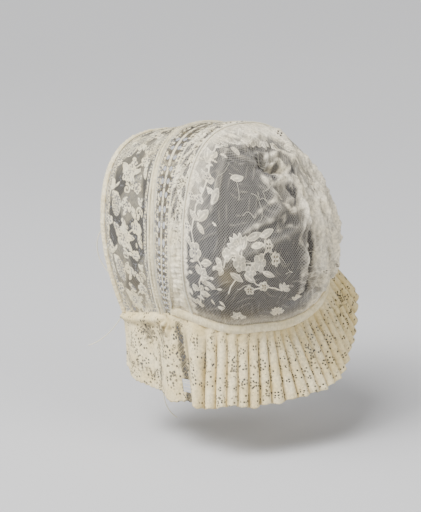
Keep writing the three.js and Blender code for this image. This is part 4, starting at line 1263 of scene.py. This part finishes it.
veil = veil + 0.32 * share_between(direction, -70, -82) * share_between(down, 1.0, 0.55)
seam_waver = 1.3 * np.sin(down * 34) * np.sin(down * 13)
veil = veil + 0.85 * share_between(np.abs(direction) + seam_waver, 86.0, 88.5)
veil = veil + 0.95 * doubled * share_between(down, 0.34, 0.20)
veil = veil + 0.3 * share_between(down, 1.78, 1.99)
# painted shade: the veil is lowered along the gap between the falls and in the hollows, so the
# dark-painted single net shows there
veil = veil - 0.6 * bump_line(from_fold(direction, down, CROWN_FOLDS[10])[0], 3.4)
for where, depth, radius in CROWN_HOLLOWS:
    hollow_x, hollow_y = net_place(where, np.array(depth))
    off = np.hypot(net_x - hollow_x, (net_y - hollow_y) * 0.7)
    veil = veil - 0.7 * bump_line(off + 0.8 * np.sin(net_x * 0.9), radius)
ridge = sum(bump_line(from_fold(direction, down, f)[0], 2.2) for f in CROWN_FOLDS if f[5] > 0)
veil = veil + 0.4 * doubled * share_between(direction, 12, 30) * share_between(down, 0.62, 0.45)
gap_line = [at(where, depth) for where, depth in DARK_GAP]
in_gap = bump_line(stem(net_x, net_y, gap_line, 0) + 0.6 * np.sin(net_y * 0.5), 2.7)
veil = np.clip(veil + 0.14 * ridge + 0.95 * on_crease**1.7 - 1.1 * in_gap, 0.05, 1)
from_spot = np.hypot(net_x + 60 * WIDEST_MM_PER_DEGREE, net_y - 138)
stain = 0.16 * bump_line(from_spot, 9) + 0.1 * share_between(down, 1.6, 2)
# painted shade: the figures are taken off the line of the gap between the falls
figures = figures - 3 * in_gap
net_numbers = pattern_numbers(net_x, net_y, figures, rings, np.full(net_x.shape, 5.0), veil, stain)
falls, hanging = hanging_folds(direction, down)
net_numbers["shade"] = 0.2 * falls * share_between(hanging, 0.3, 0.02) + 0.3 * in_gap
TOP_CHART = 0.45
from_crown_top = rib_length(down)
turned = np.radians(direction)
flat_chart = np.stack([np.sin(turned) * from_crown_top, -np.cos(turned) * from_crown_top], -1)
round_chart = np.stack([np.radians(direction) * 78, -rib_length(down)], -1)
net_chart = np.where((down < TOP_CHART)[..., None], flat_chart, round_chart)
net = lay_cloth("embroidered_net", crown_points, net_chart, net_numbers)
# the near-black and grey colours are the painted shade of the single net's meshes and threads
NET_FINISH = lace_finish("embroidered_net", (0.96, 0.875, 0.685, 1), (0.90, 0.795, 0.575, 1), 2.2,
                         0.62, 0.95, (0.022, 0.02, 0.02, 1), (0.19, 0.18, 0.165, 1), gaps=0.3,
                         figure=0.66, doubled=0.66, bump=0.22)
wear(net, NET_FINISH, "embroidered_net", "crown_net")
net_area = area_of(crown_points)
print("net area in square metres:", round(net_area, 4))

# %% [markdown]
# ## The tape at the nape
# A casing is folded over a cord that draws the net in, so it is ribbed by small gathers. It is a
# padded roll, and its ribs are waves across its profile.

# %% Neck tape
NECK_STEPS = 620
first, last = FRILL_PLACES[LEFT_EAR_ROW] + 0.004, FRILL_PLACES[RIGHT_EAR_ROW] + 0.02
neck_place = np.linspace(first, last, NECK_STEPS + 1)
neck_root, _ = frill_edges(neck_place)
neck_out = unit(np.cross(np.gradient(neck_root, axis=0), np.array([0, 0, 1.0])))
neck_out = outward(neck_out, neck_root)
neck_s = along_line(neck_root)
turn = np.linspace(0, 2 * np.pi, 28, endpoint=False)[:, None]
middle = 3 * SEWN_GAP + (NECK_TAPE_WIDTH - 5 * SEWN_GAP) / 2
ribs = 0.16 * np.sin(neck_s * 2 * np.pi / 2.3 + 1.4 * np.sin(neck_s * 0.17))[None]
height = middle - 0.5 + (NECK_TAPE_WIDTH / 2 + 0.4) * np.cos(turn) * np.ones_like(neck_s)[None]
bulge = np.sin(turn) * (1.9 + ribs) + 0.5
groove = 0.3 * bump_line(np.cos(turn) + 0.55, 0.16) + 0.3 * bump_line(np.cos(turn) - 0.6, 0.14)
bulge = bulge - np.where(np.sin(turn) > 0, groove, 0)
UP = np.array([0, 0, 1.0])
neck_points = neck_root[None] + UP * height[..., None] + neck_out[None] * bulge[..., None]
neck_chart = np.stack([neck_s[None] + 0 * height, turn * 3 + 0 * height], -1)
neck_stain = 0.1 + 0.15 * share_between(np.abs(neck_s), 60, 140)[None] + 0 * height
neck_tape = lay_cloth("drawn_neck_tape", neck_points, neck_chart, {"stain": neck_stain}, ring=True)
NECK_FINISH = tape_finish("neck_linen", (0.92, 0.825, 0.585, 1), (0.82, 0.71, 0.44, 1), 2.3)
wear(neck_tape, NECK_FINISH, "plain_tape", "neck_tape")

# %% [markdown]
# ## The frill
# Starched lace is pressed round a stick into tubes: flat where it is sewn on, round at the lower
# edge. A pleat is a wave out from the frill's form, with its sides pushed together so that each
# crest swells into a tube. Two broad waves lie at the left front, and three at the right.

# %% Frill in tube pleats
# count, width along the lower edge, depth, columns, and how far the sides are pushed together
FRILL_PLEATS = [
    ("front wave", 1, 53, 7, 62, 0.02),
    ("ear wave", 1, 40, 7.5, 50, 0.0),
    ("first tube", 1, 18.5, 9, 34, 0.06),
    ("tubes", 27, 10, 7.8, 26, 0.16),
    ("right waves", 3, 27, 8, 36, 0.08),
]
FRILL_ROWS, FRILL_WIDTH, FRILL_CUT = 46, 58, 0.060
ROOT_PLEAT_SHARE = 0.25
total = sum(count * width for _, count, width, *_ in FRILL_PLEATS)
columns, start = [], 0.0
for _, count, width, depth, steps, push in FRILL_PLEATS:
    for _ in range(count):
        phase = np.arange(steps) / steps
        columns.append(np.stack([(start + phase * width) / total, phase, np.full(steps, depth),
                                 np.full(steps, push * width)], 1))
        start += width
columns.append(np.array([[1, 1, FRILL_PLEATS[-1][3], 0]]))
place, phase, depth, push = np.vstack(columns).T
level = np.linspace(0, 1, FRILL_ROWS + 1)[:, None]
place_grid = place[None] + 0 * level


def frill_away(place, level):
    """Unit vectors out of the frill, level at its root, and along it."""
    p = np.clip(place, 0.003, 0.997)
    along = frill_form(p + 0.003, level) - frill_form(p - 0.003, level)
    root, tip = frill_edges(p)
    out = unit(np.cross(tip - root, along))
    out[..., 2] *= level
    return unit(out), unit(along)


level_grid = level + 0 * place_grid
away, tangent = frill_away(place_grid, level_grid)
opened = np.sin(np.pi / 2 * np.minimum(1, level_grid * 1.3))
fullness = ROOT_PLEAT_SHARE + (1 - ROOT_PLEAT_SHARE) * opened
wobble = np.random.default_rng(7).normal(0, 1, 40)
pleat_number = np.floor(place * 46).astype(int) % 40
uneven = 1 + 0.13 * wobble[pleat_number][None] * level_grid
wave = depth[None] / 2 * fullness * -np.cos(2 * np.pi * phase)[None] * uneven
slide = -push[None] * np.sin(2 * np.pi * phase)[None] * fullness
roll = 3.8 * bump_line(level_grid - 0.085, 0.055) * (1 - share_between(place_grid, 0.135, 0.18))
ear_x, ear_y = (place_grid - 0.175) * total, level_grid * FRILL_WIDTH - 3
ear_r, ear_angle = np.hypot(ear_x, ear_y), np.arctan2(ear_y, -ear_x)
ear_gathers = 1.5 * np.cos(11 * ear_angle) * np.exp(-((ear_r - 9) / 11) ** 2)
ear_gathers = ear_gathers * share_between(ear_x, 4, -2)
wave = wave + roll + ear_gathers
base = frill_form(place_grid, level_grid)
base[..., 2] -= SEWN_GAP * (1 - level_grid) ** 4
pleat_middles, pleat_drops = (np.arange(47) + 0.5) / 46, wobble[np.arange(47) % 40]
scallops = 0.45 * np.sin(place * 2 * np.pi * 90) * (level_grid > 0.985)
tip_drop = scallops + 1.3 * np.interp(place, pleat_middles, pleat_drops)[None] * level_grid**4
drop = np.array([0, 0, -1.0]) * tip_drop[..., None]
frill_points = base + away * wave[..., None] + tangent * slide[..., None] + drop
tip_step = np.linalg.norm(np.diff(frill_points[FRILL_ROWS // 2], axis=0), axis=1)
frill_s = np.concatenate([[0], np.cumsum(tip_step)])[None] + 0 * level_grid
frill_y = level_grid * FRILL_WIDTH

# %% [markdown]
# Openwork makes the starched lace look light: two large flowers, a band low on the front wave and
# the bend between the waves are pierced. Painted shade darkens them more: six dark strokes round
# each large flower and rows of dark dots low on the front wave and along the bend. The hollow where
# the tubes begin shows a dark ladder of painted shade, the valleys between the tubes hold painted
# shade, and a painted shadow lies under the roll on the front part. The tear is cut out of the
# grid, because the real frill is torn right through there.

# %% Figures of the frill, its tear and its holes
FRILL_REPEAT = 46.0
w = frill_s % FRILL_REPEAT - FRILL_REPEAT / 2
frill_work = np.maximum.reduce([
    1.5 - 1.4 * bump_line(np.hypot(w, frill_y - 26) - 9, 0.9) + 0 * w,
    flower(w, frill_y, 0, 26, 7.5, 6),
    flower(w, frill_y, -15, 40, 5, 5),
    flower(w, frill_y, 14, 38, 5, 5),
    3 - np.abs(frill_y - 57),
])
draw = np.random.default_rng(23)
frill_rings = [(0, 26, 4.2), (-1, 27, 1.6), (-15, 40, 2.4), (15, 38, 2.0), (12, 14, 2.2),
               (-13, 12, 1.8), (20, 50, 1.6)]
frill_rings += [(draw.uniform(-22, 22), draw.uniform(4, 52), draw.choice([0.05, 0.05, 1.1]))
                for _ in range(26)]
frill_row = np.abs(frill_y - 53.5 - 0.8 * np.sin(w * 0.6))
frill_row = frill_row + 3 * share_between(np.sin(frill_s * 0.21), 0.1, 0.3)
HOLLOW_AT, WAVES_MEET_AT = 88, 55
# two large dark flowers on the front wave: place along and down the frill, radius
DARK_FLOWERS = ((45, 15, 8), (70, 14, 5))
at_mm = place_grid * total
see_through = bump_line(at_mm - HOLLOW_AT - 0.8 * np.sin(frill_y * 0.5), 3.6)
see_through = see_through * share_between(level_grid, 0.03, 0.1)
bend_at = WAVES_MEET_AT + 5 * np.sin((frill_y - 10) * 0.07)
low_band = bump_line(frill_y - 46 - 1.5 * np.sin(at_mm * 0.3), 3.5) * share_between(at_mm, 66, 50)
openwork = np.maximum.reduce([
    see_through,
    *[0.8 * bump_line(np.hypot(at_mm - x, frill_y - y), radius) for x, y, radius in DARK_FLOWERS],
    0.6 * bump_line(at_mm - bend_at, 4.0) * share_between(level_grid, 0.2, 0.4),
    0.5 * low_band,
])
stain = 0.1 + 0.5 * share_between(place_grid, 0.45, 0.7) * share_between(level_grid, 0.0, 0.5)
stain = stain + 0.2 * bump_line(level_grid - 0.05, 0.08) + 0.06 * wobble[pleat_number][None]
frill_numbers = pattern_numbers(
    w, frill_y, np.clip(frill_work, -3, 2) - 3.2 * openwork, frill_rings, frill_row,
    np.clip(1 - 0.85 * openwork, 0.03, 1), np.clip(stain, 0, 0.8))


def painted_shade_petals(centre_x, centre_y):
    """Six strokes of painted shade round the centre of a large flower."""
    petal_x, petal_y = at_mm - centre_x, frill_y - centre_y
    petals = share_between(np.cos(6 * np.arctan2(petal_y, petal_x)), -0.2, 0.4)
    return bump_line(np.hypot(petal_x, petal_y) - 5.2, 2.0) * petals


# painted shade: dark dots in a row low on the front wave and along the bend stand for holes
painted_hole_row = bump_line(frill_y - 45 - 2 * np.sin(at_mm * 0.16), 1.5)
painted_hole_row = painted_hole_row * share_between(np.sin(at_mm * 1.5), 0.0, 0.5)
bend_row = bump_line(at_mm - bend_at, 2.2) * share_between(np.sin(frill_y * 1.3), 0.1, 0.6)
bend_row = bend_row * share_between(frill_y, 24, 28)
painted_dark_openwork = np.maximum.reduce([
    *[painted_shade_petals(x, y) for x, y, _ in DARK_FLOWERS],
    painted_hole_row * share_between(at_mm, 58, 50),
    bend_row * share_between(frill_y, 52, 46),
])
valley = bump_line(np.minimum(phase, 1 - phase) * 9, 1.0)[None] * share_between(at_mm, 90, 96)
valley = valley * share_between(level_grid, 0.05, 0.3)
# painted shade: a dark ladder in the hollow where the tubes begin
ladder = share_between(np.sin(frill_y * 1.9 + at_mm * 1.1), -0.3, 0.4)
strip = bump_line(at_mm - HOLLOW_AT, 3.0) * ladder * share_between(frill_y, 5, 9)
# painted shadow just below the roll on the frill's front part
shadow_under_roll = 0.4 * bump_line(level_grid - 0.165, 0.025) * share_between(at_mm, 92, 80)
shadow_under_roll = shadow_under_roll * (0.6 + 0.4 * np.sin(at_mm * 0.5))
frill_shade = 0.85 * valley + 0.85 * painted_dark_openwork + 0.8 * strip + shadow_under_roll
frill_numbers["shade"] = np.clip(frill_shade, 0, 0.95)
cluster = np.sin(frill_s * 0.31 + 2 * np.sin(frill_y * 0.11))
cluster = cluster * np.sin(frill_y * 0.19 + 1.1 * np.sin(frill_s * 0.05))
frill_numbers["pierced"] = np.clip(0.9 * share_between(cluster, 0.15, 0.5) + 1.2 * openwork, 0, 1)
cell_place = (place[1:] + place[:-1])[None] / 2 * total
cell_level = (level[1:] + level[:-1]) / 2
tear = (np.abs(cell_place - HOLLOW_AT) < 3.6) & (cell_level > 0.74) & (cell_level < 0.89)
frill_chart = np.stack([frill_s, frill_y], -1)
frill = lay_cloth("neck_frill", frill_points, frill_chart, frill_numbers, gone=tear, thickness=0.45)
# the near-black and grey colours are the painted shade of meshes and threads in the openwork
FRILL_FINISH = lace_finish("frill_lace", (0.92, 0.80, 0.51, 1), (0.82, 0.68, 0.375, 1), 2.1, 0.65,
                           0.9, (0.022, 0.02, 0.017, 1), (0.28, 0.25, 0.18, 1), gaps=1.0, bump=0.28)
wear(frill, FRILL_FINISH, "frill_lace", "neck_ruffle")
frill_length = float(frill_s.max()) * MM
frill_share = area_of(frill_points) / frill_length / FRILL_CUT
print("frill cut:", round(frill_length / MM), "by 60 mm; area share", round(frill_share, 2))

# %% [markdown]
# ## Seams, loops and broken threads
# Small things show that the cap is sewn: an overcast seam on each border, loops on the hem's edge
# and a few threads left across the tear. A seam is a twisted cord, a loop is a bent wire, and both
# are tubes carried along a line.

# %% Tubes along many lines
def tubes(name, lines, radius, sides, radii=None):
    """Round tubes along lines of equal length (lines by points by 3, in mm), as one mesh."""
    lines = np.asarray(lines, float)
    count, length = lines.shape[:2]
    tangent = np.gradient(lines, axis=1)
    tangent /= np.maximum(np.linalg.norm(tangent, axis=-1, keepdims=True), 1e-9)
    helper = np.where(np.abs(tangent[..., 2:]) > 0.9, np.array([1.0, 0, 0]), np.array([0, 0, 1.0]))
    side = unit(np.cross(tangent, helper))
    up = np.cross(side, tangent)
    turn = np.arange(sides) * 2 * np.pi / sides
    size = radius if radii is None else radii[..., None, None]
    ring = side[:, :, None] * np.cos(turn)[:, None] + up[:, :, None] * np.sin(turn)[:, None]
    points = lines[:, :, None] + ring * size
    index = np.arange(count * length * sides).reshape(count, length, sides)
    near, far = index[:, :-1], index[:, 1:]
    quads = np.stack([near, np.roll(near, -1, 2), np.roll(far, -1, 2), far], -1).reshape(-1, 4)
    caps = np.concatenate([index[:, 0, ::-1], index[:, -1]]).reshape(-1, sides)
    mesh = bpy.data.meshes.new(name)
    mesh.from_pydata((points.reshape(-1, 3) * MM).tolist(), [], quads.tolist() + caps.tolist())
    mesh.polygons.foreach_set("use_smooth", np.ones(len(mesh.polygons), bool))
    work = bmesh.new()
    work.from_mesh(mesh)
    bmesh.ops.recalc_face_normals(work, faces=work.faces)
    work.to_mesh(mesh)
    work.free()
    piece = bpy.data.objects.new(name, mesh)
    bpy.context.scene.collection.objects.link(piece)
    print(name, "has", len(mesh.polygons), "faces")
    return piece


SEAM_POINTS = 900
# place on the bands, lift and radius of each overcast seam, in mm
SEAMS = ((61.9, 0.35, 0.42), (69.9, 0.3, 0.36), (86.9, 0.35, 0.4), (100.75, 0.3, 0.75))
seam_downs = np.linspace(-1.995, 1.995, SEAM_POINTS)
twist = 1 + 0.35 * np.sin(np.arange(SEAM_POINTS) * 2.1)
seam_lines, seam_radii = [], []
for seam_place, lift, radius in SEAMS:
    places, lifts = np.full(SEAM_POINTS, seam_place), np.full(SEAM_POINTS, lift)
    seam_lines.append(band_surface(places, seam_downs, lifts))
    seam_radii.append(radius * twist)
seams = tubes("overcast_seams", seam_lines, 0.4, 6, np.array(seam_radii))
wear(seams, THREAD_FINISH, "plain_tape")

LOOPS = 170
loop_downs = np.linspace(-1.97, 1.97, LOOPS)
bend = np.linspace(0, np.pi, 7)
edge = band_surface(np.full(LOOPS, 0.3), loop_downs, np.full(LOOPS, 0.2))
edge_along = unit(np.gradient(edge, axis=0))[:, None]
ahead = unit(edge - band_form(np.full(LOOPS, 6.0), loop_downs))[:, None]
sideways, out = (1.0 * np.cos(bend))[None, :, None], (1.35 * np.sin(bend) - 0.15)[None, :, None]
loops = edge[:, None] + edge_along * sideways + ahead * out
picots = tubes("hem_loops", loops, 0.3, 5)
wear(picots, THREAD_FINISH, "hem_linen")

draw = np.random.default_rng(31)
fibre_lines = []
for _ in range(26):
    start_direction, start_down = draw.uniform(-62, 34), draw.uniform(0.4, 1.35)
    sweep, fall, curl = draw.uniform(-16, 16), draw.uniform(-0.16, 0.2), draw.uniform(-5, 5)
    t = np.linspace(0, 1, 16)
    d = start_direction + sweep * t + curl * np.sin(np.pi * t)
    a = start_down + fall * t + 0.02 * np.sin(2 * np.pi * t)
    ground = crown_form(d, a)
    normal = outward(facing(crown_form, d, a, 0.1, 0.01), ground)
    lift = crown_rise(d, a) + 0.35 + 0.5 * np.sin(np.pi * t)
    fibre_lines.append(ground + normal * lift[:, None])
fibres = tubes("stray_fibres", fibre_lines, 0.13, 4)
wear(fibres, THREAD_FINISH, "thread")

tear_lines = []
for row, lean in ((34.6, 0.2), (36.4, -0.5), (38.2, 0.6), (39.8, -0.2)):
    spot = np.linspace(-4.4, 2.6, 9)
    at_level = row / FRILL_ROWS + lean * 0.01 * np.sin(np.linspace(0, 3, 9))
    at_row = np.clip(np.round(at_level * FRILL_ROWS).astype(int), 0, FRILL_ROWS)
    at_place = (HOLLOW_AT + 1 + spot) / total
    index = np.clip(np.searchsorted(place, at_place), 0, len(place) - 1)
    tear_lines.append(frill_points[at_row, index])
broken = tubes("tear_threads", tear_lines, 0.28, 5)
wear(broken, THREAD_FINISH, "frill_lace")

# %% [markdown]
# ## Floor and light
# A plain pale floor and wide, soft lamps: one large lamp high on the camera's left gives the folds
# their shading, a weaker one fills from the right, and the pale sky does the rest.

# %% Stage
FLOOR_DROP = 0.022
floor_mesh = bpy.data.meshes.new("floor")
far = 6.0
floor_z = cad_low[2] - FLOOR_DROP
corners = [(-far, -far, floor_z), (far, -far, floor_z), (far, far, floor_z), (-far, far, floor_z)]
floor_mesh.from_pydata(corners, [], [(0, 1, 2, 3)])
floor = bpy.data.objects.new("floor", floor_mesh)
bpy.context.scene.collection.objects.link(floor)
floor_finish = Finish("pale_floor")
shade = floor_finish.blotches(900.0, 1.0)
tone = floor_finish.blend(shade, (0.60, 0.60, 0.61, 1), (0.57, 0.57, 0.58, 1))
floor_inputs = {"Base Color": tone, "Roughness": 0.9}
floor_shader = floor_finish.node("ShaderNodeBsdfPrincipled", inputs=floor_inputs)
floor_finish.node("ShaderNodeOutputMaterial", inputs={"Surface": floor_shader})
floor_mesh.materials.append(floor_finish.material)
floor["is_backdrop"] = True

world = bpy.data.worlds.new("studio")
world.use_nodes = True
world.node_tree.nodes["Background"].inputs["Color"].default_value = (0.66, 0.66, 0.66, 1)
world.node_tree.nodes["Background"].inputs["Strength"].default_value = 0.42
bpy.context.scene.world = world

CAMERA_LEFT = Vector((0.669, -0.743, 0))
for name, where, size, power in (
    ("key", back * 0.75 + CAMERA_LEFT * 0.75 + Vector((0, 0, 0.95)), 0.45, 14),
    ("side", CAMERA_LEFT * 1.3 + Vector((0, 0, 0.35)), 0.7, 9),
    ("fill", back * 1.0 - CAMERA_LEFT * 1.1 + Vector((0, 0, 0.35)), 0.9, 12),
):
    lamp_data = bpy.data.lights.new(name, "AREA")
    lamp_data.size = size
    lamp_data.energy = power
    lamp = bpy.data.objects.new(name, lamp_data)
    lamp.location = LOOK_AT + where
    lamp.rotation_euler = where.to_track_quat("Z", "Y").to_euler()
    bpy.context.scene.collection.objects.link(lamp)
sun_data = bpy.data.lights.new("window", "SUN")
sun_data.energy = 4.3
sun_data.angle = math.radians(38)
sun = bpy.data.objects.new("window", sun_data)
window = back * 0.55 + CAMERA_LEFT * 0.55 + Vector((0, 0, 0.95))
sun.rotation_euler = window.to_track_quat("Z", "Y").to_euler()
bpy.context.scene.collection.objects.link(sun)
print("floor at", round(floor_z / MM), "mm")

# %% [markdown]
# ## Size of the cloth
# The boxes of the solids and of the cloth are both kept, and the cloth's box is printed.

# %% Size of the cloth
low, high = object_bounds()
size = {"cad": [list(cad_low), list(cad_high)], "visual": [list(low), list(high)]}
print("visual box in mm:", [round(n / MM, 1) for n in (*low, *high)])
